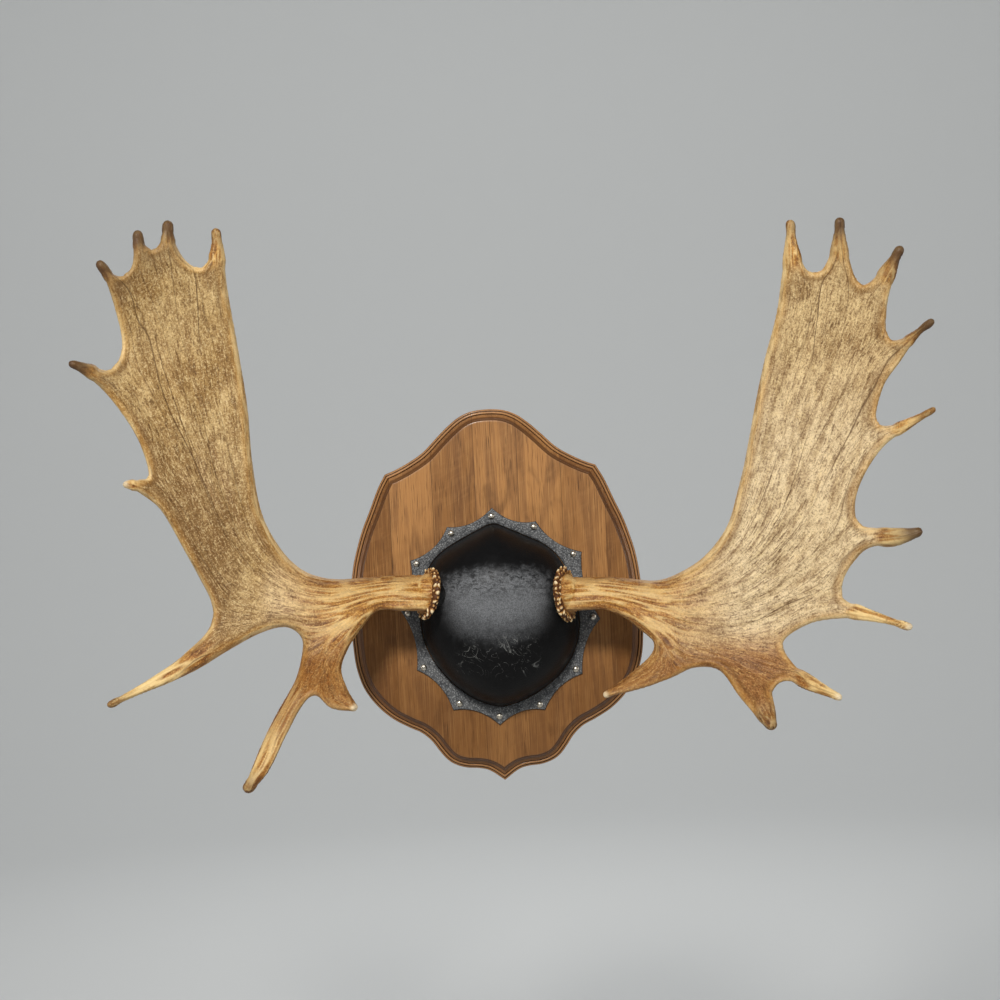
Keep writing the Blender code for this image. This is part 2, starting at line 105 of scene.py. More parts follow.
# Section of the trim strip: (share of the way out to its points, out from the wall).
TRIM_SECTION = [(0, 22.3), (0, 24.0), (0.015, 24.4), (0.05, 24.7), (0.3, 24.8), (0.6, 24.8), (0.9, 24.75),
                (0.955, 24.6), (0.985, 24.2), (1, 23.6), (1, 22.3)]
TACK_AT = [(-1, 97.5), (50, 82), (96.5, 46.5), (117, -31), (93, -94), (47, -135), (-3, -147), (-51, -129),
           (-92.5, -83), (-108.5, -15.5), (-95, 44), (-51, 79)]

# A tack's profile: (radius, height over its seat), from the point of the shank to the crown.
TACK_PROFILE = [(0, -9), (0.75, -8.6), (0.8, -0.2), (3.6, -0.2), (3.95, 0.0), (4.0, 0.2), (3.9, 0.5),
                (3.5, 1.2), (2.8, 1.85), (1.9, 2.3), (0.9, 2.55), (0, 2.6)]
TACK_SEAT = 25.0

# Antler outlines run from the top of the burr, round every tine, to the foot of the burr. A third value
# marks a tine's point by its kind, 1 dark, 2 pale or 3 plain, and a fourth gives its radius.
LEFT = [(-77, 30), (-123, 33), (-154, 32), (-183, 32), (-205, 36), (-228, 48), (-249, 73), (-266, 113),
        (-273, 166), (-275, 235), (-281, 304), (-287, 366), (-289, 415), (-295, 438, 3, 4.4), (-302, 415),
        (-309, 401), (-318, 396), (-330, 405), (-338, 422), (-344, 445, 1, 5.0), (-352, 427), (-361, 415),
        (-369, 420), (-376, 433, 1, 4.6), (-381, 418), (-385, 397), (-395, 386), (-404, 388),
        (-417, 399, 1, 4.2), (-412, 377), (-407, 348), (-404, 316), (-409, 292), (-419, 283), (-433, 288),
        (-451, 289, 1, 3.6), (-438, 276), (-424, 260), (-408, 235), (-392, 201), (-384, 165), (-393, 160),
        (-407, 155, 2, 3.2), (-392, 143), (-373, 123), (-355, 84), (-338, 45), (-326, 15), (-327, -10),
        (-354, -41), (-389, -64), (-431, -88, 3, 3.0), (-398, -78), (-358, -64), (-317, -45), (-276, -24),
        (-246, -18), (-228, -30), (-226, -48), (-233, -79), (-256, -121), (-272, -156),
        (-283, -188, 3, 5.4), (-261, -171), (-240, -131), (-224, -103), (-208, -93), (-188, -105),
        (-160, -106, 2, 4.6), (-171, -87), (-180, -68), (-175, -49), (-160, -26), (-139, -6), (-112, -7),
        (-77, -9)]
RIGHT = [(77, 20), (131, 19), (165, 15), (194, 13), (223, 24), (250, 43), (273, 74), (286, 113),
         (297, 155), (309, 209), (322, 263), (336, 313), (343, 357), (353, 416, 3, 4.2), (360, 388),
         (370, 361), (384, 358), (394, 376), (404, 412, 1, 4.3), (412, 379), (423, 342), (435, 341),
         (449, 357), (466, 374, 1, 4.2), (461, 349), (453, 315), (452, 280), (465, 275),
         (493, 290, 1, 3.2), (479, 274), (464, 250), (446, 223), (437, 187), (451, 180),
         (489, 193, 3, 2.4), (467, 175), (443, 156), (424, 129), (411, 97), (413, 71), (437, 65),
         (472, 60, 1, 4.4), (450, 46), (423, 43), (407, 29), (395, 8), (393, -12), (413, -24),
         (455, -45, 2, 3.4), (425, -39), (392, -36), (357, -42), (327, -62), (336, -86), (353, -100),
         (374, -119, 2, 3.0), (345, -112), (325, -104), (308, -112), (306, -129), (299, -149, 3, 6.6),
         (285, -139), (270, -119), (253, -91), (225, -86), (195, -96), (159, -105), (117, -110, 2, 3.4),
         (147, -91), (175, -72), (181, -57), (168, -43), (150, -28), (128, -18), (108, -17), (77, -17)]
# Burrs: (x, z, tip up, turn forward), the last two in degrees, and how far they stand out from the wall.
LEFT_BURR = (-81, 10, 15.2, 22)
RIGHT_BURR = (83, 1.5, 4.8, 22)
BURR_OUT = 86
BURR_PROFILE = [(0, -26), (11, -26), (12.5, -24), (13, -12), (14.5, -8.5), (21, -7.2), (26, -6.2),
                (29, -4.6), (30.4, -2.4), (30.4, -0.2), (28.8, 1.6), (26.4, 2.8), (23.4, 3.6), (20, 4.2),
                (10, 4.8), (0, 5)]
COLLAR_PROFILE = [(0, -4), (24, -4), (25.4, 0), (24.2, 2.5), (22.4, 5), (20.4, 7.5), (18.4, 10), (15.5, 13),
                  (11, 15.5), (0, 16)]
BURR_KNOBS = 30  # round the rim
DARK, PALE, PLAIN = 1, 2, 3  # kinds of point
# Stations (x, z, depth of the mid-surface, fullness): fullness caps the half thickness.
LEFT_FORM = [(-74, 12, 85, 30), (-113, 13, 89, 30), (-154, 10, 97, 30), (-206, 4, 111, 26),
             (-255, 20, 127, 15), (-278, 108, 135, 9), (-275, 200, 140, 8), (-281, 292, 150, 8),
             (-295, 439, 190, 9), (-326, 191, 152, 6.5), (-335, 305, 167, 6.5), (-344, 445, 216, 9),
             (-376, 433, 232, 9), (-417, 397, 246, 9), (-450, 288, 256, 9), (-401, 311, 204, 8),
             (-380, 170, 190, 8), (-406, 154, 216, 8), (-327, 19, 160, 11), (-429, -87, 240, 12),
             (-348, -41, 185, 14), (-282, -186, 250, 12), (-243, -97, 188, 13), (-161, -101, 226, 12),
             (-200, -57, 150, 14)]
RIGHT_FORM = [(74, 2, 85, 30), (118, 2, 90, 30), (158, -4, 98, 30), (209, -18, 113, 22),
              (258, 0, 128, 14), (291, 103, 135, 9), (306, 184, 140, 8), (327, 274, 150, 8),
              (354, 417, 190, 9), (347, 158, 152, 6.5), (373, 271, 167, 6.5), (404, 413, 216, 9),
              (466, 372, 236, 9), (491, 289, 250, 9), (487, 193, 256, 9), (446, 269, 205, 8),
              (432, 175, 200, 8), (470, 59, 238, 9), (411, 75, 198, 8), (453, -44, 242, 11),
              (393, -26, 190, 9), (372, -117, 240, 12), (325, -92, 175, 11), (298, -146, 230, 12),
              (274, -101, 170, 11), (119, -110, 186, 12), (174, -81, 150, 13)]

# Lamps: name, place, size, power in watts, colour. The backdrop lamp aims far behind the mount.
LAMPS = [("key", (-0.35, -2.25, 1.4), 0.45, 60, (1.0, 0.975, 0.94)),
         ("front", (1.2, -2.6, 0.6), 1.3, 5, (1.0, 0.985, 0.96)),
         ("left", (-2.3, -0.6, 0.3), 0.9, 8, (0.97, 0.98, 1.0)),
         ("right", (2.3, -0.6, 0.3), 0.9, 8, (0.97, 0.98, 1.0)),
         ("back", (0.3, 2.2, 1.9), 1.8, 14, (1.0, 1.0, 1.0)),
         ("backdrop", (0.0, 1.6, 3.0), 1.8, 130, (1.0, 1.0, 1.0))]
MOUNT_AIM, BACKDROP_AIM = (0, -0.1, 0.1), (0, 7, 0.4)
CAMERA_AT = (0.0105, 0.1169)  # x and z, in metres

# ------------------------------------------------------------------ numpy helpers


def hashed(ix, iy, iz, seed):
    """A number in 0..1 for each lattice point: its indices times large numbers, mixed by shifts and xor."""
    n = (ix * 374761393 + iy * 668265263 + iz * 1442695041 + seed * 362437).astype(np.int64) & 0xFFFFFFFF
    n = ((n ^ (n >> 13)) * 1274126177) & 0xFFFFFFFF
    return ((n ^ (n >> 16)) & 0xFFFFFF) / float(0xFFFFFF)


def noise(u, v, w=0.0, seed=0):
    """Value noise in -1..1: hashed lattice values blended by 6t^5 - 15t^4 + 10t^3 along three axes."""
    where = np.broadcast_arrays(np.asarray(u, float), np.asarray(v, float), np.asarray(w, float))
    whole = [np.floor(c) for c in where]
    parts = [c - i for c, i in zip(where, whole)]
    parts = [t * t * t * (t * (6 * t - 15) + 10) for t in parts]
    cell = [i.astype(np.int64) for i in whole]
    seed, total = np.asarray(seed, np.int64), 0
    for a in (0, 1):
        for b in (0, 1):
            for c in (0, 1):
                share = [p if on else 1 - p for p, on in zip(parts, (a, b, c))]
                corner = hashed(cell[0] + a, cell[1] + b, cell[2] + c, seed)
                total = total + share[0] * share[1] * share[2] * corner
    return 2 * total - 1


def knobs(u, v, seed, low=0.28, high=0.46):
    """Round knobs in 0..1: one dome a cell, sqrt(1 - (distance / radius)^2), its centre and radius hashed."""
    iu, iv = np.floor(u).astype(np.int64), np.floor(v).astype(np.int64)
    best = np.zeros(np.broadcast(u, v).shape)
    for a in (-1, 0, 1):
        for b in (-1, 0, 1):
            cu, cv = iu + a, iv + b
            pu, pv, share = (hashed(cu, cv, 0 * cu, seed + more) for more in (0, 1, 2))
            pu, pv, radius = cu + 0.25 + 0.5 * pu, cv + 0.25 + 0.5 * pv, low + (high - low) * share
            square = ((u - pu) ** 2 + (v - pv) ** 2) / radius**2
            best = np.maximum(best, np.sqrt(np.clip(1 - square, 0, 1)) * radius / high)
    return best


def smooth(low, high, x):
    """Smooth step 3t^2 - 2t^3 from low to high."""
    t = np.clip((x - low) / (high - low), 0, 1)
    return t * t * (3 - 2 * t)


def spline(points, step, closed=False):
    """Catmull-Rom curve p(t) = (2b + (c-a)t + (2a-5b+4c-d)t^2 + (3b-a-3c+d)t^3) / 2, sampled every `step`.
    Returns the samples and, for every given point, the index of its sample."""
    p = np.array([q[:2] for q in points], float)
    p = np.vstack([p[-1], p, p[:2]]) if closed else np.vstack([2 * p[0] - p[1], p, 2 * p[-1] - p[-2]])
    out, index = [], []
    for a, b, c, d in zip(p, p[1:], p[2:], p[3:]):
        index.append(sum(len(o) for o in out))
        t = np.arange(0, 1, 1 / max(1, round(float(np.hypot(*(c - b))) / step)))[:, None]
        square, cube = 2 * a - 5 * b + 4 * c - d, 3 * b - a - 3 * c + d
        out.append(0.5 * (2 * b + (c - a) * t + square * t**2 + cube * t**3))
    return np.vstack(out), index


def outward(points, faces):
    """Turns every face round if the closed surface has a negative volume."""
    volume = 0.0
    for part in faces:
        corner = points[np.asarray(part)]
        for k in range(1, corner.shape[1] - 1):
            volume += np.einsum("ij,ij->", corner[:, 0], np.cross(corner[:, k], corner[:, k + 1]))
    return [np.asarray(part)[:, ::-1] if volume < 0 else np.asarray(part) for part in faces]


def resample(run, count):
    """The run at `count` even steps of its length, without its last point."""
    length = np.r_[0, np.cumsum(np.linalg.norm(np.diff(run, axis=0), axis=1))]
    at = np.linspace(0, length[-1], count + 1)[:-1]
    return np.stack([np.interp(at, length, run[:, k]) for k in range(run.shape[1])], 1)


def mesh_object(name, points, faces):
    """A smooth-shaded object in the row frame from arrays of points (n, 3) and faces (tris or quads)."""
    points = np.asarray(points, float)
    mesh = bpy.data.meshes.new(name)
    mesh.from_pydata(points.tolist(), [], [f for part in outward(points, faces) for f in part.tolist()])
    mesh.update()
    obj = bpy.data.objects.new(name, mesh)
    bpy.context.scene.collection.objects.link(obj)
    mesh.polygons.foreach_set("use_smooth", [True] * len(mesh.polygons))
    return obj


def grid_faces(rows, cols, flip=False):
    """Quads of a rows x cols lattice of points, joined round the second index."""
    i, j = np.meshgrid(np.arange(rows - 1), np.arange(cols), indexing="ij")
    k = (j + 1) % cols
    quads = np.stack([i * cols + j, i * cols + k, (i + 1) * cols + k, (i + 1) * cols + j], -1).reshape(-1, 4)
    return quads[:, ::-1] if flip else quads


def fan(first, count, hub, flip=False):
    """Triangles from the edges of a closed ring, whose points start at `first`, to a hub."""
    k = np.arange(count)
    triangles = np.stack([first + k, first + (k + 1) % count, np.full(count, hub)], 1)
    return triangles[:, ::-1] if flip else triangles


def turned(profile, count):
    """A profile of (radius r, height h) turned round +Z: (r cos a, r sin a, h) on a grid, and its quads."""
    a = np.linspace(0, 2 * np.pi, count, endpoint=False)
    r, h = profile[:, :1], profile[:, 1:]
    points = np.stack([r * np.cos(a), r * np.sin(a), h + 0 * a], -1).reshape(-1, 3)
    return points, grid_faces(len(profile), count)


def placed(points, seat):
    """Points in a seat's own frame, moved to the row frame."""
    return points @ np.array(seat.to_3x3()).T + np.array(seat.translation)


def coordinates(mesh, source="vertices", key="co"):
    out = np.empty(len(mesh.vertices) * 3, np.float32)
    getattr(mesh, source).foreach_get(key, out)
    return out.reshape(-1, 3).astype(float)


def move_points(mesh, points):
    mesh.vertices.foreach_set("co", points.astype(np.float32).ravel())
    mesh.update()


def write_attribute(mesh, name, values):
    made = mesh.attributes.new(name, "FLOAT", "POINT")
    made.data.foreach_set("value", np.asarray(values, np.float32))


def apply_modifiers(obj, all_smooth=True):
    """Replaces the object's mesh by its evaluated one, and clears the modifiers."""
    bpy.context.view_layer.update()
    mesh = bpy.data.meshes.new_from_object(obj.evaluated_get(bpy.context.evaluated_depsgraph_get()))
    obj.modifiers.clear()
    obj.data = mesh
    if all_smooth:
        mesh.polygons.foreach_set("use_smooth", [True] * len(mesh.polygons))
    return mesh


def weld(obj, gap, all_smooth=True):
    obj.modifiers.new("weld", "WELD").merge_threshold = gap
    apply_modifiers(obj, all_smooth)
    return obj


# ------------------------------------------------------------------ antlers


def form_surface(stations):
    """Thin-plate spline through stations: (x, z) in metres to (depth, fullness) in metres."""
    s = np.array(stations, float) / 100
    points, values = s[:, :2], s[:, 2:]

    def kernel(a, b):
        r = np.linalg.norm(a[:, None] - b[None], axis=-1)
        return r * r * np.log(r + 1e-9)

    n = len(points)
    system = np.zeros((n + 3, n + 3))
    system[:n, :n] = kernel(points, points) + 0.004 * np.eye(n)
    system[:n, n:] = np.c_[np.ones(n), points]
    system[n:, :n] = system[:n, n:].T
    weights = np.linalg.solve(system, np.vstack([values, np.zeros((3, 2))]))

    def at(xz):
        q = xz / (100 * MM)
        return (kernel(q, points) @ weights[:n] + np.c_[np.ones(len(q)), q] @ weights[n:]) * 100 * MM

    return at


def relax(field, free, source=0.0, rounds=260, over=1.9):
    """Solves laplacian(field) = -source / cell^2 where free, by checkerboard over-relaxation."""
    i, j = np.indices(field.shape)
    colours = [free & ((i + j) % 2 == c) for c in (0, 1)]
    for _ in range(rounds):
        for colour in colours:
            mean = np.zeros_like(field)
            around = field[2:, 1:-1] + field[:-2, 1:-1] + field[1:-1, 2:] + field[1:-1, :-2]
            mean[1:-1, 1:-1] = 0.25 * around
            field = np.where(colour, field + over * (mean + 0.25 * source - field), field)
    return field


class Sheet:
    """Maps of one antler over its (x, z) plane: distance in from the outline, half width, flow and form."""

    def __init__(self, stations, form, cell):
        self.cell = cell
        self.loop, index = spline(stations, 1.2)
        self.loop = np.vstack([self.loop, np.array(stations[-1][:2], float)]) * MM
        self.tips = [(self.loop[index[k]], station[2], station[3] * MM, index[k])
                     for k, station in enumerate(stations) if len(station) > 2]
        low, high = self.loop.min(0) - 6 * cell, self.loop.max(0) + 6 * cell
        self.low = low
        xs, zs = np.arange(low[0], high[0], cell), np.arange(low[1], high[1], cell)
        self.x, self.z = np.meshgrid(xs, zs, indexing="ij")
        self.measure()
        self.flow()
        self.form = form_surface(form)
        depth, full = self.form(np.c_[self.x.ravel(), self.z.ravel()]).T
        self.depth, self.full = depth.reshape(self.x.shape), np.maximum(full.reshape(self.x.shape), 0.005)

    def measure(self):
        """Signed distance from the outline (positive inside) and the nearest point on it."""
        a, b = self.loop, np.roll(self.loop, -1, axis=0)
        inside = np.zeros(self.x.shape, bool)
        for j, z in enumerate(self.z[0]):
            crossing = (a[:, 1] > z) != (b[:, 1] > z)
            p, q = a[crossing], b[crossing]
            cuts = np.sort(p[:, 0] + (z - p[:, 1]) * (q[:, 0] - p[:, 0]) / (q[:, 1] - p[:, 1]))
            inside[:, j] = np.searchsorted(cuts, self.x[:, 0]) % 2 == 1
        points = np.c_[self.x.ravel(), self.z.ravel()].astype(np.float32)
        nearest = np.empty(len(points), int)
        loop = a.astype(np.float32)
        square = (loop**2).sum(1)
        for k in range(0, len(points), 8000):
            part = points[k:k + 8000]
            nearest[k:k + 8000] = (square - 2 * part @ loop.T).argmin(1)
        best, spot = np.full(len(points), 9.0), np.zeros((len(points), 2))
        for step in (-1, 0):
            p, q = a[(nearest + step) % len(a)], b[(nearest + step) % len(a)]
            length = np.maximum(((q - p) ** 2).sum(1), 1e-14)
            foot = p + (q - p) * np.clip(((points - p) * (q - p)).sum(1) / length, 0, 1)[:, None]
            gap = np.linalg.norm(points - foot, axis=1)
            better = gap < best
            best[better], spot[better] = gap[better], foot[better]
        self.inside, self.nearest = inside, nearest.reshape(self.x.shape)
        self.distance = np.where(inside, 1, -1) * best.reshape(self.x.shape)
        self.foot = spot.reshape(*self.x.shape, 2)

    def flow(self):
        """Half width w from the torsion problem, 2 phi = d (2w - d), and the stream function psi that fans
        from the burr (0 at its top, 1 at its foot) to the points of the tines: harmonic, and constant along
        each bay."""
        h, d, inside = self.cell, self.distance, self.inside
        phi = relax(np.where(inside, d * 0.01, 0.0), inside, h * h)
        sure = d > 2 * h
        width = np.where(sure, (2 * phi / np.maximum(d, h) + d) / 2, 0.0)
        near = (d > -4 * h) & ~sure
        for _ in range(60):
            total, count = np.zeros_like(width), np.zeros_like(width)
            filled = (width > 0).astype(float)
            for axis in (0, 1):
                for way in (1, -1):
                    total += np.roll(width, way, axis)
                    count += np.roll(filled, way, axis)
            width = np.where(near & (count > 0), total / np.maximum(count, 1), width)
        self.width = width
        ends = [tip[3] for tip in self.tips]
        steps = np.linspace(0, 1, len(ends) + 1)
        bay = np.searchsorted(ends, np.arange(len(self.loop)), side="right")
        values = steps[bay]
        values[-1] = 1.0
        start = np.where(d > -1.5 * h, values[self.nearest], 0.5)
        top, foot = self.loop[0], self.loop[-1]
        across = np.clip((self.z - foot[1]) / (top[1] - foot[1]), 0, 1)
        root = np.abs(self.foot[..., 0] - top[0]) < 1e-6
        start = np.where(root & (np.abs(d) < 2 * h), 1 - across, start)
        self.psi = relax(start, inside & (d > 0.5 * h), 0.0, 420, 1.94)
        gx, gz = np.gradient(self.psi, h)
        self.speed = np.hypot(gx, gz)

    def sample(self, array, xz):
        """The map's value at each (x, z), blended between the four cells round it."""
        u = np.clip((xz - self.low) / self.cell, 0, np.array(self.x.shape) - 1.001)
        i, f = u.astype(int), u - u.astype(int)
        a, b = array[i[:, 0], i[:, 1]], array[i[:, 0] + 1, i[:, 1]]
        c, d = array[i[:, 0], i[:, 1] + 1], array[i[:, 0] + 1, i[:, 1] + 1]
        return (a * (1 - f[:, 0]) + b * f[:, 0]) * (1 - f[:, 1]) + (c * (1 - f[:, 0]) + d * f[:, 0]) * f[:, 1]

    def body(self):
        """y = -depth(x, z) -+ t(x, z) with t = w sqrt(1 - (1 - d/w)^2): the outline filled to a rounded body,
        with w kept under the form's fullness and a low bead along the palm's edge."""
        h, d = self.cell, self.distance
        w = (np.maximum(self.width, 1e-4) ** -3 + self.full**-3) ** (-1 / 3)
        t = w * np.sqrt(1 - (1 - np.clip(d / w, 0, 1)) ** 2)
        palm = smooth(0.014, 0.03, self.width)
        t = t + palm * 0.0011 * np.exp(-(((d - 0.0062) / 0.0035) ** 2))
        rim = np.abs(d) < 0.5 * h
        used = rim | (d > 0)
        xz = np.where(rim[..., None], self.foot, np.stack([self.x, self.z], -1))
        t = np.where(rim, 0, t)
        front_id = np.full(d.shape, -1)
        front_id[used] = np.arange(used.sum())
        inner = used & ~rim
        back_id = front_id.copy()
        back_id[inner] = used.sum() + np.arange(inner.sum())
        y = -self.depth
        points = np.vstack([np.c_[xz[used][:, 0], (y - t)[used], xz[used][:, 1]],
                            np.c_[xz[inner][:, 0], (y + t)[inner], xz[inner][:, 1]]])
        faces = []
        for ids, flip in ((front_id, False), (back_id, True)):
            c = np.stack([ids[:-1, :-1], ids[1:, :-1], ids[1:, 1:], ids[:-1, 1:]], -1).reshape(-1, 4)
            valid = c >= 0
            whole = c[valid.all(1)]
            three = c[valid.sum(1) == 3]
            tri = three[three >= 0].reshape(-1, 3)
            faces += [part[:, ::-1] if flip else part for part in (whole, tri)]
        return points, faces


def burr_seat(x, z, tilt, turn):
    """Frame of a burr, its z axis out along the beam, tipped up by tilt and forward from the wall by turn."""
    side = math.copysign(1, x)
    tilt, turn = math.radians(tilt), math.radians(turn)
    axis = Vector((side * math.cos(tilt) * math.cos(turn), -math.sin(turn), math.sin(tilt) * math.cos(turn)))
    place = Matrix.Translation((x * MM, -BURR_OUT * MM, z * MM))
    return place @ axis.to_track_quat("Z", "Y").to_matrix().to_4x4()


def burr_surface(seat, seed):
    """A turned profile r(v) flaring from the beam to the rim, times ribs, plus two staggered rows of knobs.
    Returns its points, its quads and what the bone's colours follow on it."""
    profile = np.vstack([spline(BURR_PROFILE, 0.8)[0], BURR_PROFILE[-1]]) * MM
    rows = resample(profile, 170)
    rows[:, 0] = np.maximum(rows[:, 0], 0)
    rows[0, 0] = rows[-1, 0] = 0
    angle = np.linspace(0, 2 * np.pi, 340, endpoint=False)
    length = np.r_[0, np.cumsum(np.linalg.norm(np.diff(rows, axis=0), axis=1))]
    s, a = np.meshgrid(length, angle, indexing="ij")
    r, h = rows[:, :1] + 0 * a, rows[:, 1:] + 0 * a

    def ring_noise(scale, more):
        return noise(np.cos(a) * scale + 5, np.sin(a) * scale + 5, more, seed)

    sway, wobble, ribs = ring_noise(1.8, 0), ring_noise(5.0, s * 90), ring_noise(8.5, s * 12)
    rim = smooth(0.0205, 0.0265, r) * smooth(-0.0085, -0.0055, h) * smooth(0.0085, 0.003, h)
    turn = a * BURR_KNOBS / (2 * np.pi)
    across = s / 0.0058 + 0.7 * sway + 0.3 * wobble
    seam = np.minimum(turn, BURR_KNOBS - turn) < 1.0
    beads = np.where(seam, knobs((turn + 2) % BURR_KNOBS + 60, across, seed, 0.22),
                     knobs(turn, across, seed, 0.22))
    flare = smooth(0.001, 0.003, h)
    r = r + 0.0024 * sway * smooth(0.018, 0.024, r) + rim * (0.0036 * beads + 0.0012 * wobble - 0.001)
    r = r + flare * 0.0014 * ribs
    r[0], r[-1] = 0, 0
    points = np.stack([r * np.cos(a), r * np.sin(a), h + rim * (0.0014 * beads + 0.0016 * sway)], -1)
    fields = {"ridge": flare * ribs * 0.9, "pearl": rim * beads, "shade": rim * (1 - smooth(0.0, 0.4, beads)),
              "stub": smooth(-0.0062, -0.0095, h)}
    fields = {key: (value + 0 * r).ravel() for key, value in fields.items()}
    return placed(points.reshape(-1, 3), seat), grid_faces(len(rows), len(angle)), fields


def collar(seat):
    """The base of the beam, a turned profile r(v) that widens smoothly to the burr."""
    points, faces = turned(np.array(COLLAR_PROFILE) * MM, 72)
    return placed(points, seat), faces


def streaks(psi, speed, run, side, spacing, seed, stretch=60.0):
    """Streaks along the flow: noise(psi 2^k, run) with k blended so that they stay about `spacing` apart."""
    level = np.log2(1 / np.maximum(speed * spacing, 1e-3))
    k = np.floor(level)
    mix = smooth(0, 1, level - k)
    k = k.astype(np.int64)
    low = noise(psi * 2.0**k, run * stretch, side, seed + 7 * k)
    high = noise(psi * 2.0 ** (k + 1), run * stretch, side, seed + 7 * (k + 1))
    return low * (1 - mix) + high * mix


def blunt_points(sheet):
    """Blunt ends for the tines: rings whose centres follow the middle of the tine back from its point. At v
    from the point their radius is the larger of sqrt(R^2 - (R - v)^2) and half the tine's breadth, then it
    shrinks into the tine."""
    parts = []
    for spot, _, radius, index in sheet.tips:
        ahead, behind = (sheet.loop[(index + way * np.arange(2, 26)) % len(sheet.loop)] for way in (1, -1))
        centres, breadth = (ahead + behind) / 2, np.linalg.norm(ahead - behind, axis=1) / 2
        away = np.linalg.norm(centres - spot, axis=1)
        keep = np.r_[True, away[1:] > np.maximum.accumulate(away)[:-1]]
        centres, breadth, away = centres[keep], breadth[keep], away[keep]
        near = away < 0.02
        slope = np.polyfit(away[near], centres[near], 1, w=1 + 400 * away[near])[0]
        axis = -slope / np.linalg.norm(slope)
        round_end = radius * (1 - np.cos(np.linspace(0.0, np.pi / 2, 8)))
        v = np.r_[round_end, radius + np.linspace(0.0012, 0.016, 12)]
        nose = np.sqrt(np.maximum(radius**2 - (radius - v) ** 2, 0))
        nose = np.where(v < radius, nose, radius + 0.10 * (v - radius))
        tine, fade = np.interp(v, away, breadth), smooth(radius + 0.002, radius + 0.014, v)
        r = np.maximum(nose, tine * smooth(0, radius, v))
        r = r * (1 - fade) + np.minimum(r, 0.85 * tine) * fade
        blend = smooth(0.0, 0.006, v)[:, None]
        middle = np.stack([np.interp(v, away, centres[:, k]) for k in (0, 1)], 1)
        middle = middle * blend + (spot - axis * v[:, None]) * (1 - blend)
        depth = sheet.form(middle)[:, 0]
        middle, r, depth = np.vstack([middle, middle[-1]]), np.r_[r, 0], np.r_[depth, depth[-1]]
        rise = (depth[0] - depth[-1]) / max(v[-1], 1e-6)
        across = np.array((-axis[1], 0, axis[0]))
        lean = np.array((-axis[0] * rise, -1.0, -axis[1] * rise)) / math.hypot(1, rise)
        a = np.linspace(0, 2 * np.pi, 24, endpoint=False)[:, None]
        centre = np.c_[middle[:, 0], -depth, middle[:, 1]][:, None]
        points = centre + r[:, None, None] * (np.cos(a) * across + np.sin(a) * lean)
        parts.append((points.reshape(-1, 3), grid_faces(len(r), len(a))))
    return parts


def antler_skin(name, sheet, seat, settings):
    """The sheet's body, the collar and the blunt points, wrapped in one skin of even cells and eased."""
    points, faces = sheet.body()
    for more, quads in [collar(seat), *blunt_points(sheet)]:
        faces.append(quads + len(points))
        points = np.vstack([points, more])
    obj = mesh_object(name, points, faces)
    skin = obj.modifiers.new("skin", "REMESH")
    skin.mode, skin.voxel_size = "VOXEL", settings.voxel
    ease = obj.modifiers.new("ease", "SMOOTH")
    ease.factor, ease.iterations = 0.5, 3
    apply_modifiers(obj)
    return obj


def grain_of(sheet, co, burr, seat):
    """What each point of the skin takes from the sheet: its flow line, the flow's spread, its distance from
    the outline, how far it is beam, tine or palm, and the streaks, ridges and lip that follow from these."""
    xz = co[:, [0, 2]]
    top, foot = sheet.loop[0, 1], sheet.loop[-1, 1]
    z = np.where(np.abs(xz[:, 0]) < 0.100, np.clip(xz[:, 1], foot + 0.0015, top - 0.0015), xz[:, 1])
    inner = np.c_[np.sign(burr[0]) * np.maximum(np.abs(xz[:, 0]), 0.082), z]
    g = SimpleNamespace(**{key: sheet.sample(getattr(sheet, key), inner)
                           for key in ("psi", "speed", "distance", "width", "depth")})
    g.run = np.linalg.norm(xz - np.array(burr[:2]) * MM, axis=1)
    g.side = (co[:, 1] + g.depth) * 150
    g.beam = smooth(0.21, 0.09, g.run)
    g.tine = smooth(0.024, 0.013, g.width) * smooth(0.12, 0.2, g.run)
    g.lower = smooth(0.2, 0.1, co[:, 2])
    g.solid = np.clip(g.beam + g.tine, 0, 1)
    g.palm = 1 - g.solid
    g.even = smooth(0.35, 1.6, g.speed)
    from_burr = ((co - np.array(seat.translation)) @ np.array(seat.to_3x3()))[:, 2]
    g.start = smooth(0.001, 0.007, from_burr)
    g.coarse = streaks(g.psi, g.speed, g.run, g.side, 0.011, 21, 14) * g.even
    g.ridge = (1 - 2 * np.abs(streaks(g.psi, g.speed, g.run, g.side * 0.5, 0.0034, 41, 15))) * g.even
    g.fine = streaks(g.psi, g.speed, g.run, g.side, 0.0026, 61, 55)
    g.lip = np.exp(-(((g.distance - 0.0095) / 0.0028) ** 2)) * g.palm * smooth(0.024, 0.034, g.width)
    return g


def relief(g, co, points):
    """Height of the bone over its plain body, in mm: ridges and furrows on beam and tines; a swell, a lip and
    one low rib to each point on the palm; grit and lumps, fading out at the outline and the burr."""
    ribs = -np.cos(2 * np.pi * g.psi * points) * g.even * smooth(0.16, 0.28, g.run)
    swell, grit = noise(*(co.T * 42), 9), noise(*(co.T * 330), 5)
    lumps = knobs(g.psi * 17, g.run * 200, 77) * smooth(0.13, 0.02, g.run)
    ridged = 1.1 * g.ridge * (0.4 + 0.6 * g.lower) + 0.6 * g.coarse + 0.4 * g.fine
    flat = 0.5 * g.coarse + 0.25 * g.fine + 0.2 * g.ridge + 0.6 * swell
    rough = g.solid * ridged + g.palm * flat + (0.12 + 0.22 * g.beam) * grit + 0.3 * lumps
    fade = (0.3 + 0.7 * smooth(0.0, 0.0025, g.distance)) * g.start
    return 0.5 + 0.7 * g.tine - 0.5 * g.lip + 1.1 * g.palm * ribs + rough * fade


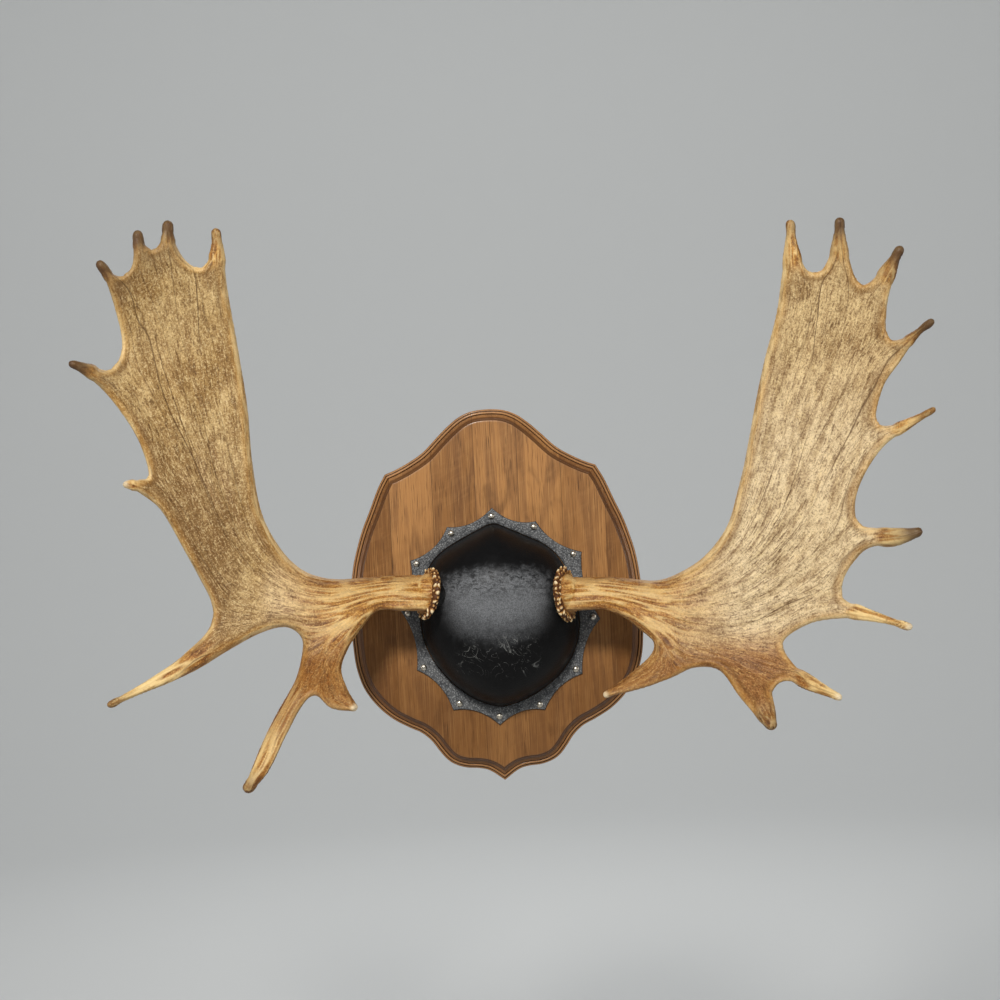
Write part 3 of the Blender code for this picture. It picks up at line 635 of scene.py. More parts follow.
def stains(g, co, normal, tips, right):
    """A warmer brown low down; along the beam's underside and top edge a darker brown of the bone's own with
    painted shade over it. Painted light and shade from side to side: the right antler paler, most of all out
    and down its palm, the left palm darker out and down; a paler spot where the beam runs into the palm;
    dark, pale or plain points. `right` is 1 on the viewer's right and 0 on the left."""
    x, z, rise = np.abs(co[:, 0]), co[:, 2], normal[:, 2]
    shift = 0.022 * right
    warm_and_shade = smooth(-0.012 - shift, -0.06 - shift, z) * smooth(0.38, 0.31, x)
    warm_and_shade = warm_and_shade * (1 - 0.55 * smooth(-0.115, -0.15, z))
    # The beam's underside and top edge: a darker brown of the bone's own, with painted shade over it.
    under, over = 0.85 * smooth(-0.1, -0.75, rise), 0.6 * smooth(0.5, 0.95, rise)
    warm_and_shade = np.maximum(warm_and_shade, g.beam * np.maximum(under, over))
    # Painted light and shade: the right antler painted paler, the left palm darker out and down. Then a paler
    # spot where the beam runs into the palm.
    tone = smooth(0.30, 0.06, z) * smooth(0.24, 0.33, x) * (2 * right - 1) + 0.35 * right
    tone = tone + 0.9 * np.exp(-((x - 0.235) ** 2 + (z - 0.015) ** 2) / 0.05**2)
    dark, pale = np.zeros(len(co)), np.zeros(len(co))
    for spot, kind, _, _ in tips:
        gap = np.linalg.norm(co[:, [0, 2]] - spot, axis=1) + 0.002 * g.fine
        if kind == DARK:
            dark = np.maximum(dark, 0.45 * smooth(0.060, 0.020, gap) + 0.55 * smooth(0.026, 0.009, gap))
        if kind == PLAIN:
            dark = np.maximum(dark, 0.45 * smooth(0.030, 0.008, gap))
        if kind == PALE:
            pale = np.maximum(pale, smooth(0.008, 0.002, gap))
    return {"warm_and_shade": warm_and_shade, "tone": tone, "dark": dark, "pale": pale}


def build_antler(name, stations, form, burr, settings):
    """One antler and its burr. The skin is thinned at the end, once its relief and attributes are on it."""
    sheet, seat = Sheet(stations, form, settings.cell), burr_seat(*burr)
    obj = antler_skin(name, sheet, seat, settings)
    mesh = obj.data
    co, normal = coordinates(mesh), coordinates(mesh, "vertex_normals", "vector")
    g = grain_of(sheet, co, burr, seat)
    lift = relief(g, co, len(sheet.tips)) * MM * settings.relief
    move_points(mesh, co + normal * lift[:, None])
    blank = np.zeros(len(co))
    fields = {"lip": g.lip * np.clip(0.6 + 0.8 * g.coarse, 0, 1), "tine": g.tine * g.lower, "psi": g.psi,
              "run": g.run, "speed": g.speed, "ridge": g.ridge * g.start, "solid": g.solid, "even": g.even,
              "rim": smooth(0.013, 0.001, g.distance), "pearl": blank, "shade": blank, "stub": blank,
              **stains(g, co, normal, sheet.tips, int(burr[0] > 0))}
    for key, value in fields.items():
        write_attribute(mesh, key, value)
    thin = obj.modifiers.new("thin", "DECIMATE")
    thin.ratio = min(1.0, settings.faces / sum(len(face.vertices) - 2 for face in mesh.polygons))
    apply_modifiers(obj)
    points, quads, fields = burr_surface(seat, 11 if burr[0] < 0 else 31)
    root = mesh_object(name.replace("antler", "burr"), points, [quads])
    blank = np.zeros(len(points))
    fields.update({key: blank for key in ("lip", "tine", "warm_and_shade", "tone", "rim", "dark", "pale")})
    angle = np.arctan2(points[:, 2] - burr[1] * MM, -points[:, 1] - BURR_OUT * MM)
    run = np.linalg.norm(points[:, [0, 2]] - np.array(burr[:2]) * MM, axis=1)
    fields.update({"psi": angle / (2 * np.pi), "run": run, "speed": blank + 7.0, "solid": blank + 1,
                   "even": blank + 1})
    for key, value in fields.items():
        write_attribute(root.data, key, value)
    return obj, weld(root, 1e-6)


# ------------------------------------------------------------------ plaque, leather, tacks


def inset(runs, delta, counts):
    """The outline moved in by delta and mitred at its corners, resampled to the same count on every ring."""
    out = []
    for k, run in enumerate(runs):
        along = np.gradient(run, axis=0)
        along /= np.linalg.norm(along, axis=1)[:, None]
        moved = run + np.c_[along[:, 1], -along[:, 0]] * delta
        before, after = runs[k - 1], runs[(k + 1) % len(runs)]
        ends = []
        for at, one, two in ((0, before[-1] - before[-2], along[0]), (-1, along[-1], after[1] - after[0])):
            one, two = one / np.linalg.norm(one), two / np.linalg.norm(two)
            n1, n2 = np.array((one[1], -one[0])), np.array((two[1], -two[0]))
            mitre = (n1 + n2) / (1 + n1 @ n2)
            ends.append(run[at] + mitre * delta)
            across = np.array((-mitre[1], mitre[0]))
            inward = across * np.sign(across @ (run[len(run) // 2] - run[at]))
            if delta > 0:
                moved = moved[(moved - run[at]) @ inward > 2e-5]
        if delta > 0:
            moved = np.vstack([ends[0], moved, ends[1]])
        out.append(resample(moved, counts[k]))
    return np.vstack(out)


def shield_runs(step=1.5):
    """The shield's outline as smooth runs that meet at its sharp corners: crown, right flank, left flank."""
    crown = [(-x, z) for x, z in SHOULDER[:0:-1]] + SHOULDER
    left = [(-x, z) for x, z in FLANK[::-1]]
    return [np.vstack([spline(run, step)[0], run[-1]]) * MM for run in (crown, FLANK, left)]


def pill(low, high, radius, start, end):
    """A cutter for the keyhole, all in mm: a round-ended bar from z = low to high, between two depths."""
    count = 48
    a = (np.arange(count) + 0.5) * 2 * np.pi / count
    x, z = radius * np.sin(a), np.where(np.cos(a) > 0, high, low) + radius * np.cos(a)
    middle = (low + high) / 2
    rings = [np.c_[x, 0 * a - start, z], np.c_[x, 0 * a - end, z]]
    points = np.vstack([*rings, (0, -start, middle), (0, -end, middle)]) * MM
    ends = [fan(0, count, 2 * count, True), fan(count, count, 2 * count + 1)]
    return mesh_object("keyhole_cutter", points, [grid_faces(2, count), *ends])


def cut_keyhole(obj):
    """The round entry, the slot above it for a screw's shank, and the room behind the lip for its head."""
    for run, radius, start, end in ((0, ENTRY_R, -2, KEYHOLE_DEEP),
                                    (KEYHOLE_RUN, SLOT_R, -2, KEYHOLE_LIP + 2.5),
                                    (KEYHOLE_RUN, HEAD_R, KEYHOLE_LIP, KEYHOLE_DEEP - 0.1)):
        cutter = pill(KEYHOLE_Z, KEYHOLE_Z + run, radius, start, end)
        cut = obj.modifiers.new("keyhole", "BOOLEAN")
        cut.operation, cut.solver, cut.object = "DIFFERENCE", "EXACT", cutter
        apply_modifiers(obj, all_smooth=False)
        bpy.data.objects.remove(cutter)


def build_plaque(settings):
    """The shield: its outline carried up the moulding's profile, then shrunk to the middle; a flat back."""
    runs = shield_runs()
    counts = [settings.points, round(settings.points * 1.35), round(settings.points * 1.35)]
    rings = []
    for delta, out in MOULDING:
        ring = inset(runs, delta * MOULDING_STRETCH * MM, counts)
        rings.append(np.c_[ring[:, 0], np.full(len(ring), -out * MM), ring[:, 1]])
    last = rings[-1]
    centre = np.array((0, last[0, 1], 0))
    shares = (0.992, 0.86, 0.7, 0.5, 0.25)
    rings += [centre + (last - centre) * share for share in shares]
    cols, count = len(last), len(rings)
    points = np.vstack([*rings, [centre], [(0, 0, 0)]])
    front, back = fan((count - 1) * cols, cols, count * cols), fan(0, cols, count * cols + 1, True)
    obj = mesh_object("walnut_shield", points, [grid_faces(count, cols), front, back])
    edge = np.array(MOULDING)[:, 0]
    within = lambda *bands: np.any([(edge > low) & (edge < high) for low, high in bands], axis=0)
    # Where the moulding is painted: shade in the quirks and the coved hollow, highlights on the beads; edge
    # marks the whole moulding.
    marks = {"quirk_shade": within((1.9, 2.68), (4.9, 5.68), (11.7, 12)), "bead_highlight": within((2.8, 4.8), (0.3, 1.5)),
             "cove_shade": within((8.5, 11.7)), "edge": edge < 12}
    for key, mark in marks.items():
        inner = np.zeros(len(shares) * cols + 2)
        write_attribute(obj.data, key, np.r_[np.repeat(mark.astype(float), cols), inner])
    for face in list(obj.data.polygons)[-2 * cols:]:
        face.use_smooth = False
    cut_keyhole(obj)
    return weld(obj, 2e-6, all_smooth=False)


def dome_height(r, rise):
    """Depth of the dome at a share r of the way out: foot + rise (1 - r^3.4)^0.62."""
    return CAP_FOOT * MM + rise * (1 - np.clip(r, 0, 1) ** 3.4) ** 0.62


def build_cap(settings):
    """The dome: its outline shrunk to the middle by r and raised by dome_height(r). The outline's corners are
    averaged away up the side, and the leather is drawn up a little at both burrs."""
    base = spline(CAP, 2.2, closed=True)[0] * MM
    centre = np.array(CAP_MIDDLE) * MM
    base = resample(np.vstack([base, base[:1]]), settings.points)
    count, half = len(base), len(base) // 10
    window = np.ones(2 * half + 1) / (2 * half + 1)
    soft = np.stack([np.convolve(np.tile(axis, 3), window, "same")[count:2 * count] for axis in base.T], 1)
    r = np.sin((1 - np.linspace(0, 1, 120) ** 1.7) * np.pi / 2)[:-1]
    corner = smooth(0.6, 1.0, r)[:, None, None]
    xz = centre + ((soft + (base - soft) * corner) - centre) * r[:, None, None]
    wave = 0.0007 * noise(xz[..., 0] * 45, xz[..., 1] * 45, 0, 3) * smooth(1.0, 0.9, r)[:, None]
    depth = dome_height(r, settings.rise)[:, None] + wave
    for x, z in ((-72, 10), (73, 2)):
        gap = np.hypot(xz[..., 0] - x * MM, xz[..., 1] - z * MM)
        depth = depth + 0.008 * np.exp(-((gap / 0.015) ** 2)) * smooth(1.0, 0.93, r)[:, None]
    points = np.stack([xz[..., 0], -depth, xz[..., 1]], -1)
    rows, cols = points.shape[:2]
    hubs = [(centre[0], -dome_height(0.0, settings.rise), centre[1]), (centre[0], -CAP_FOOT * MM, centre[1])]
    crown, under = fan((rows - 1) * cols, cols, rows * cols), fan(0, cols, rows * cols + 1, True)
    points = np.vstack([points.reshape(-1, 3), hubs])
    return mesh_object("leather_dome", points, [grid_faces(rows, cols), crown, under])


def build_trim():
    """The flat strip round the cap: from 0.6 mm off its outline to twelve points joined by bowed edges."""
    base = spline(CAP, 2.2, closed=True)[0] * MM
    centre = np.array(CAP_MIDDLE) * MM
    corners = np.array(TRIM, float) * MM
    outer = []
    for a, b in zip(corners, np.roll(corners, -1, axis=0)):
        t = np.linspace(0, 1, 41)[:-1, None]
        toward = centre - (a + b) / 2
        bow = toward / np.linalg.norm(toward) * TRIM_SAG * MM
        outer.append(a + (b - a) * t + bow * 4 * t * (1 - t))
    outer = np.vstack(outer)
    inner = base + (base - centre) / np.linalg.norm(base - centre, axis=1)[:, None] * 0.6 * MM
    angle, inner_angle = (np.unwrap(np.arctan2(*(ring - centre).T)) for ring in (outer, inner))
    inner_angle = np.r_[inner_angle - 2 * np.pi, inner_angle, inner_angle + 2 * np.pi]
    order = np.argsort(inner_angle)
    inner = np.stack([np.interp(angle, inner_angle[order], np.tile(axis, 3)[order]) for axis in inner.T], 1)
    rows = []
    for share, out in TRIM_SECTION + TRIM_SECTION[:1]:
        xz = inner + (outer - inner) * share
        rows.append(np.c_[xz[:, 0], np.full(len(xz), -out * MM), xz[:, 1]])
    points = np.vstack(rows)
    obj = mesh_object("trim_strip", points, [grid_faces(len(rows), len(outer), flip=True)])
    # cut marks the trim's cut edge and side, dark in its own colour and carrying painted shadow.
    write_attribute(obj.data, "cut", smooth(-0.0246, -0.0243, points[:, 1]))
    return weld(obj, 1e-5)


def build_tacks():
    """Twelve tacks, each a profile turned round an axis that points out from the wall."""
    made = []
    for name, (x, z) in zip(TACKS, TACK_AT):
        points, faces = turned(np.array(TACK_PROFILE) * MM, 40)
        points = np.c_[x * MM + points[:, 0], -TACK_SEAT * MM - points[:, 2], z * MM + points[:, 1]]
        made.append(weld(mesh_object(name + "_head", points, [faces[:, ::-1]]), 1e-6))
    return made


# ------------------------------------------------------------------ materials


class Socket:
    """A node output that builds Math nodes from arithmetic."""

    def __init__(self, tree, output):
        self.tree, self.output = tree, output

    def math(self, operation, *others):
        node = self.tree.nodes.new("ShaderNodeMath")
        node.operation = operation
        for slot, value in zip(node.inputs, (self, *others)):
            if isinstance(value, Socket):
                self.tree.links.new(value.output, slot)
            else:
                slot.default_value = value
        return Socket(self.tree, node.outputs[0])

    def __add__(self, other): return self.math("ADD", other)
    def __radd__(self, other): return self.math("ADD", other)
    def __sub__(self, other): return self.math("SUBTRACT", other)
    def __rsub__(self, other): return (self * -1) + other
    def __mul__(self, other): return self.math("MULTIPLY", other)
    def __rmul__(self, other): return self.math("MULTIPLY", other)
    def __truediv__(self, other): return self.math("DIVIDE", other)
    def __rtruediv__(self, other): return self.constant(other).math("DIVIDE", self)
    def floor(self): return self.math("FLOOR")
    def size(self): return self.math("ABSOLUTE")
    def offset(self): return (self.math("FRACT") - 0.5).size()

    def constant(self, value):
        node = self.tree.nodes.new("ShaderNodeValue")
        node.outputs[0].default_value = value
        return Socket(self.tree, node.outputs[0])

    def step(self, low, high):
        """Smooth step from 0 at low to 1 at high."""
        node = self.tree.nodes.new("ShaderNodeMapRange")
        node.interpolation_type = "SMOOTHSTEP"
        self.tree.links.new(self.output, node.inputs["Value"])
        node.inputs["From Min"].default_value, node.inputs["From Max"].default_value = low, high
        return Socket(self.tree, node.outputs["Result"])


class Shade:
    """One material: sockets in, a Principled BSDF out."""

    def __init__(self, name, **constants):
        self.material = bpy.data.materials.new(name)
        self.material.use_nodes = True
        self.tree = self.material.node_tree
        self.shader = self.tree.nodes["Principled BSDF"]
        for key, value in constants.items():
            self.shader.inputs[key.replace("_", " ")].default_value = value

    def node(self, kind, outlet=0, settings=None, **inputs):
        made = self.tree.nodes.new("ShaderNode" + kind)
        for key, value in (settings or {}).items():
            setattr(made, key, value)
        for key, value in inputs.items():
            slot = made.inputs[key.replace("_", " ")]
            if isinstance(value, Socket):
                self.tree.links.new(value.output, slot)
            else:
                slot.default_value = value
        return Socket(self.tree, made.outputs[outlet])

    def attribute(self, name):
        return self.node("Attribute", "Fac", {"attribute_name": name})

    def place(self):
        return self.node("TexCoord", "Object")

    def split(self, vector):
        node = self.tree.nodes.new("ShaderNodeSeparateXYZ")
        self.tree.links.new(vector.output, node.inputs[0])
        return [Socket(self.tree, out) for out in node.outputs]

    def join(self, x, y, z):
        return self.node("CombineXYZ", 0, None, X=x, Y=y, Z=z)

    def noise(self, vector, scale, detail=3.0, rough=0.55, warp=0.0):
        return self.node("TexNoise", "Fac", None, Vector=vector, Scale=scale, Detail=detail, Roughness=rough,
                         Distortion=warp)

    def cells(self, vector, scale):
        return self.node("TexVoronoi", "Distance", None, Vector=vector, Scale=scale)

    def mix(self, share, a, b, blend="MIX"):
        made = self.tree.nodes.new("ShaderNodeMix")
        made.data_type, made.blend_type = "RGBA", blend
        for slot, value in ((made.inputs[0], share), (made.inputs[6], a), (made.inputs[7], b)):
            if isinstance(value, Socket):
                self.tree.links.new(value.output, slot)
            else:
                slot.default_value = value if isinstance(value, float) else (*value, 1)
        return Socket(self.tree, made.outputs[2])

    def paint(self, colour, *coats):
        """Lays coats over a colour, each (share, red, green, blue), its colour in display values to 255."""
        for share, *tint in coats:
            colour = self.mix(share, colour, srgb(*tint))
        return colour

    def tint(self, colour, by):
        return self.mix(1.0, colour, by, "MULTIPLY")

    def set(self, **links):
        for key, value in links.items():
            self.tree.links.new(value.output, self.shader.inputs[key.replace("_", " ")])

    def bump(self, height, strength, distance):
        self.set(Normal=self.node("Bump", 0, None, Height=height, Strength=strength, Distance=distance))


def srgb(*channels):
    """Linear colour from display values of 0 to 255."""
    return tuple(c / 255 / 12.92 if c <= 10 else ((c / 255 + 0.055) / 1.055) ** 2.4 for c in channels)


def fibres(s, psi, run, depth, spread, spacing, stretch, seed):
    """Fibre noise about `spacing` apart across the flow: two octaves of psi, blended by the local spread."""
    level = (1.0 / (spread * spacing)).math("LOGARITHM", 2.0)
    whole = level.floor()
    part = (level - whole).step(0.0, 1.0)
    fine, finer = (s.noise(s.join(psi * octave.constant(2.0).math("POWER", octave), run * stretch,
                                  (octave * 17.3) + depth + seed), 1.0, 3.0, 0.62)
                   for octave in (whole + 0.0, whole + 1.0))
    return (fine * (1.0 - part)) + (finer * part)


def cracks(s, psi, run, depth, spread, count, sway, width, seed, slant=0.0):
    """Thin lines psi = constant, count of them between the edges, swaying, broken up by a mask."""
    bend = s.noise(s.join(run * 4.5, psi * 2.0, depth + seed), 1.0, 1.0, 0.3)
    off = ((psi * count) + (bend * sway) + (run * slant) + seed).offset() / (spread * count)
    mask = s.noise(s.join(run * 4.0, (psi * count).floor() * 3.7, depth + seed + 4.0), 1.0, 1.0)
    return off.step(width, width * 0.2) * mask.step(0.42, 0.60) * run.step(0.13, 0.26)


def antler_material(tint):
    """Bone: fibres and cracks along the flow, cream crests, brown furrows, golden rims, stained points.
    Painted light and shade on it as well: shade under the beams and in the groove inside the palm's rim, a
    highlight along the rims, the right antler paler than the left.
    """
    s = Shade("antler_bone", Roughness=0.5, Specular_IOR_Level=0.35)
    at, place = s.attribute, s.place()
    y = s.split(place)[1]
    psi, run, spread = at("psi"), at("run"), at("speed").math("MAXIMUM", 0.3)
    solid, tine, rim = at("solid"), at("tine"), at("rim")
    ridge, warm_and_shade, tone = at("ridge"), at("warm_and_shade"), at("tone")
    fibre = fibres(s, psi, run, y * 150.0, spread, 0.0016, 80.0, 0.0)
    thread = fibres(s, psi, run, y * 150.0, spread, 0.0048, 18.0, 50.0)
    felt = s.noise(place, 500.0, 2.0, 0.6, 0.6)
    speck = s.noise(place, 330.0, 4.0, 0.72)
    mottle = s.noise(place, 105.0, 4.0, 0.65)
    blotch = s.noise(s.join(psi * 26.0, run * 26.0, y * 26.0), 1.0, 3.0, 0.6)
    cloud = s.noise(place, 14.0, 3.0, 0.55)
    flow = (s, psi, run, y * 20.0, spread)
    crack = cracks(*flow, 5.0, 1.0, 0.0009, 0.3)
    crack = crack.math("MAXIMUM", cracks(*flow, 9.0, 1.2, 0.0008, 21.0, 3.0) * 0.75)
    crack = crack.math("MAXIMUM", cracks(*flow, 17.0, 1.4, 0.0007, 43.0, -5.0) * 0.5)
    crack = crack * (1.0 - (rim * 0.6)) * at("even")
    palm = s.paint(
        s.mix(cloud.step(0.36, 0.64), srgb(184, 152, 100), srgb(216, 188, 140)),
        # Painted light and shade: paler over the right antler, darker out and down the left palm.
        (tone.step(0.0, 1.0) * 0.85, 246, 226, 192),
        (tone.step(0.0, -1.0) * 0.75, 150, 116, 70),
        (blotch.step(0.46, 0.66) * 0.45, 146, 110, 62),
        (mottle.step(0.44, 0.66) * 0.3, 138, 102, 56),
        (mottle.step(0.46, 0.32) * 0.3, 240, 214, 164),
        (thread.step(0.50, 0.70) * 0.4, 130, 92, 46),
        (fibre.step(0.51, 0.68) * 0.75, 108, 76, 38),
        (fibre.step(0.48, 0.31) * 0.6, 250, 228, 184),
        (felt.step(0.51, 0.66) * 0.45, 106, 76, 38),
        (felt.step(0.48, 0.34) * 0.45, 250, 230, 188))
    beam = s.paint(
        s.mix(mottle.step(0.38, 0.7), srgb(208, 160, 88), srgb(178, 122, 56)),
        # A warmer brown low down, and painted shade on the beam's underside and top edge.
        (warm_and_shade * 0.95, 160, 106, 44),
        (blotch.step(0.48, 0.68) * 0.5, 128, 84, 38),
        (thread.step(0.45, 0.7) * 0.55, 136, 88, 40),
        (fibre.step(0.50, 0.68) * 0.7, 104, 64, 28),
        (felt.step(0.53, 0.68) * 0.5, 100, 60, 24),
        (felt.step(0.46, 0.34) * (0.4 - (warm_and_shade * 0.15)), 250, 216, 150),
        (fibre.step(0.48, 0.30) * (0.55 - (warm_and_shade * 0.2)), 248, 214, 150))
    crest = (ridge + fibre - 0.5).step(0.25, 0.95)
    furrow = (ridge + (fibre * 0.8) - 0.4).step(-0.05, -0.8)
    # Cream along the palm's rims: a painted highlight where the rims turn to the light, partly the bone's own
    # paler edge.
    edge = rim.step(0.55, 0.95) * blotch.step(0.62, 0.42) * (1.0 - at("dark"))
    colour = s.paint(
        s.mix(solid.math("MAXIMUM", warm_and_shade * 0.85), palm, beam),
        (solid * crest * (0.62 + (tine * 0.3) - (warm_and_shade * 0.5)), 252, 226, 172),
        (solid * furrow * (0.8 + (tine * 0.15)), 104, 62, 24),
        # Painted shade in the groove inside the palm's rim.
        (at("lip") * 0.5, 116, 80, 38),
        (rim * (1.0 - solid) * thread.step(0.72, 0.42) * 0.5, 220, 170, 92),
        (edge * (0.6 - (solid * 0.5)) * (1.0 - (warm_and_shade * 0.6)), 252, 230, 184),
        (crack * 0.62, 98, 66, 32),
        (speck.step(0.58, 0.74) * 0.5, 96, 64, 32),
        (at("dark") * 0.85, 104, 80, 56),
        (at("pale") * 0.75, 246, 232, 204),
        (at("shade") * 0.9, 98, 58, 26),
        (at("pearl").step(0.35, 0.9) * (0.6 + (mottle * 0.6)), 252, 234, 200),
        (at("stub"), 22, 19, 16))
    colour = s.tint(s.node("Gamma", 0, None, Color=colour, Gamma=1.3), tint)
    s.set(Base_Color=colour, Roughness=(mottle * 0.2) + (fibre * 0.15) + 0.34)
    s.bump((fibre * 0.4) + (speck * 0.35) + (thread * 0.45) + (felt * 0.35) - (crack * 0.55), 0.85, 0.0011)
    return s.material


def walnut_material(tint):
    """Oiled walnut: glued boards, each with its own tone; growth rings as level lines of a field stretched
    with the grain; short dark pores; a satin coat. Painted shade towards the bottom and in the moulding's
    quirks and coved hollow, painted highlights on its beads."""
    s = Shade("walnut", Coat_Weight=0.25, Coat_Roughness=0.18, Specular_IOR_Level=0.25)
    x, y, z = s.split(s.place())
    lane = (x * 19.0) + 40.37
    board = lane.floor()
    tone = s.node("TexWhiteNoise", "Value", {"noise_dimensions": "1D"}, W=board + 0.5)
    seam = ((lane - board) - 0.5).size().step(0.486, 0.498)
    slope = (tone - 0.5) * 0.5
    field_place = s.join((x * 15.0) + (z * slope), (tone * 40.0) + (y * 15.0), z * 2.6)
    field = s.noise(field_place, 1.0, 2.0, 0.45, 0.7)
    rings = ((field * 42.0).math("SINE") * 0.5) + 0.5
    fibre = s.noise(s.join(x * 950.0, (tone * 9.0) + (y * 950.0), z * 14.0), 1.0, 3.0, 0.65)
    pore = s.noise(s.join(x * 1200.0, (tone * 5.0) + (y * 1200.0), z * 34.0), 1.0, 2.0, 0.5)
    cloud = s.noise(s.join(x * 9.0, tone * 20.0, z * 6.0), 1.0, 3.0, 0.6, 0.8)
    curl_place = s.join((x * 20.0) + (z * 30.0), tone * 7.0, (z * 120.0) - (x * 60.0))
    curl = s.noise(curl_place, 1.0, 2.0, 0.5, 0.5)
    knot = s.noise(s.join(x * 26.0, tone * 3.0, z * 12.0), 1.0, 2.0, 0.5, 1.6)
    colour = s.paint(
        s.mix(tone, srgb(112, 72, 34), srgb(178, 128, 78)),
        (cloud.step(0.38, 0.66) * 0.45, 112, 71, 33),
        (rings.step(0.3, 0.95) * 0.38, 94, 57, 26),
        (knot.step(0.58, 0.74) * 0.45, 76, 46, 22),
        (curl.step(0.5, 0.66) * 0.12, 176, 130, 82),
        (fibre.step(0.50, 0.70) * 0.5, 88, 55, 27),
        (fibre.step(0.48, 0.30) * 0.55, 190, 144, 92),
        (pore.step(0.60, 0.70) * 0.7, 54, 31, 13),
        (seam * 0.55, 64, 38, 18),
        # Painted shade: the plaque darkened towards its bottom.
        (z.step(0.02, -0.14) * 0.55, 96, 60, 26),
        (s.attribute("edge") * 0.35, 98, 60, 28),
        # Painted highlight on the moulding's beads.
        (s.attribute("bead_highlight") * 0.4, 196, 146, 96),
        # Painted shade in the moulding's coved hollow and in its quirks.
        (s.attribute("cove_shade") * 0.7, 78, 45, 18),
        (s.attribute("quirk_shade") * 0.85, 48, 26, 12))
    s.set(Base_Color=s.tint(colour, tint), Roughness=(fibre * 0.2) + (rings * 0.08) + 0.26)
    s.bump((fibre * 0.6) - (pore.step(0.64, 0.74) * 0.5), 0.3, 0.0004)
    return s.material


def dome_leather():
    """Black pebbled leather with a grey patch on its front, partly dusty and worn and partly a painted sheen
    where the dome faces the light, with fine pale creases below.
    """
    s = Shade("black_leather", Roughness=0.4, Specular_IOR_Level=0.10)
    place = s.place()
    x, y, z = s.split(place)
    pebble = s.cells(place, 620.0)
    grain = s.noise(place, 800.0, 3.0, 0.7)
    mottle = s.noise(place, 120.0, 4.0, 0.7)
    cloud = s.noise(place, 28.0, 3.0, 0.6)
    across, up = x - 0.001, z - 0.002
    square = across * across
    wide = (across.size() + (mottle * 0.03) + (cloud * 0.02) - 0.025).step(0.076, 0.044)
    top = (z + (square * 2.0) + (mottle * 0.016) + (cloud * 0.010) - 0.013).step(0.045, 0.024)
    low = (up - (square * 5.0) + (mottle * 0.03) - 0.015).step(-0.068, -0.008)
    scuff = s.noise(s.join(x * 130.0, y * 130.0, z * 210.0), 1.0, 4.0, 0.7, 0.8)
    scuffed = 1.0 - (z.step(-0.012, 0.024) * scuff.step(0.40, 0.66) * 0.85)
    fine = (grain - (pebble * 0.35) + 0.25).step(0.40, 0.75)
    # Grey patch on the dome's front: partly dusty wear, partly a painted sheen where the dome faces the
    # light.
    dust_and_sheen = wide * top * low * (0.55 + (fine * 0.45)) * scuffed
    warp = s.noise(s.join(x * 22.0, y * 12.0, z * 11.0), 1.0, 2.0, 0.5, 1.6)
    nick_place = s.join((x * 60.0) + (z * 40.0), y * 20.0, (z * 30.0) - (x * 18.0))
    nick = (s.noise(nick_place, 1.0, 1.0, 0.5, 2.2) - 0.5).size().step(0.008, 0.002)
    crease = (warp * 4.0).offset().step(0.035, 0.008).math("MAXIMUM", nick)
    band = z.step(-0.098, -0.08) * z.step(-0.036, -0.056) * x.size().step(0.056, 0.03)
    crease = crease * band * mottle.step(0.42, 0.55) * 0.9
    colour = s.paint(s.mix(mottle, srgb(11, 11, 11), srgb(20, 20, 21)),
                     (dust_and_sheen * 0.95, 120, 122, 125), (crease * 0.8, 140, 141, 138))
    s.set(Base_Color=colour, Roughness=(dust_and_sheen * 0.15) + (mottle * 0.2) + 0.26)
    s.bump((grain * 0.35) - (pebble * 0.4) + (mottle * 0.5), 0.5, 0.0007)
    return s.material


def strap_leather():
    """Slate leather with a coarse pressed grain, with painted highlights on its high points, and cut edges
    dark in their own colour with painted shadow along them.
    """
    s = Shade("grey_leather", Roughness=0.45)
    place = s.place()
    pebble = s.cells(place, 460.0)
    grain = s.noise(place, 700.0, 3.0, 0.7)
    mottle = s.noise(place, 140.0, 4.0, 0.65)
    # Painted highlights on the grain's high points.
    high = ((grain * 0.8) - (pebble * 0.6) + 0.35).step(0.4, 0.8)
    colour = s.paint(s.mix(mottle.step(0.35, 0.7), srgb(52, 54, 57), srgb(86, 87, 88)),
                     # The cut edge: dark in its own colour, with painted shadow along it.
                     (high * 0.7, 158, 160, 160), (s.attribute("cut") * 0.9, 18, 18, 18))
    s.set(Base_Color=colour, Roughness=(grain * 0.3) + 0.28)
    s.bump((grain * 0.4) - (pebble * 0.7) + (mottle * 0.4), 0.8, 0.0009)
    return s.material


def nickel_material():
    """Satin nickel, a little grimy."""
    s = Shade("nickel", Metallic=1.0, Roughness=0.3)
    grime = s.noise(s.place(), 900.0, 3.0, 0.6)
    colour = s.mix(grime.step(0.3, 0.8), srgb(214, 208, 194), srgb(150, 142, 128))
    s.set(Base_Color=colour, Roughness=(grime * 0.3) + 0.2)
    return s.material


def sweep(height, colour):
    """Floor z(r) that is flat to a radius, then rises as a quarter circle into an upright wall all round."""
    flat, bend, top, count = 4.0, 3.0, 5.5, 96
    turn = np.linspace(0, np.pi / 2, 24)
    r = np.r_[0.01, flat * 0.5, flat + bend * np.sin(turn), flat + bend]
    z = np.r_[height, height, bend * (1 - np.cos(turn)) + height, top]
    points, faces = turned(np.c_[r, z], count)
    middle = fan(0, count, len(points), True)
    floor = mesh_object("floor", np.vstack([points, (0, 0, height)]), [faces, middle])
    floor.data.materials.append(Shade("floor_paint", Base_Color=(*colour, 1), Roughness=0.85).material)
    floor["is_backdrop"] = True


# ------------------------------------------------------------------ settings and operators


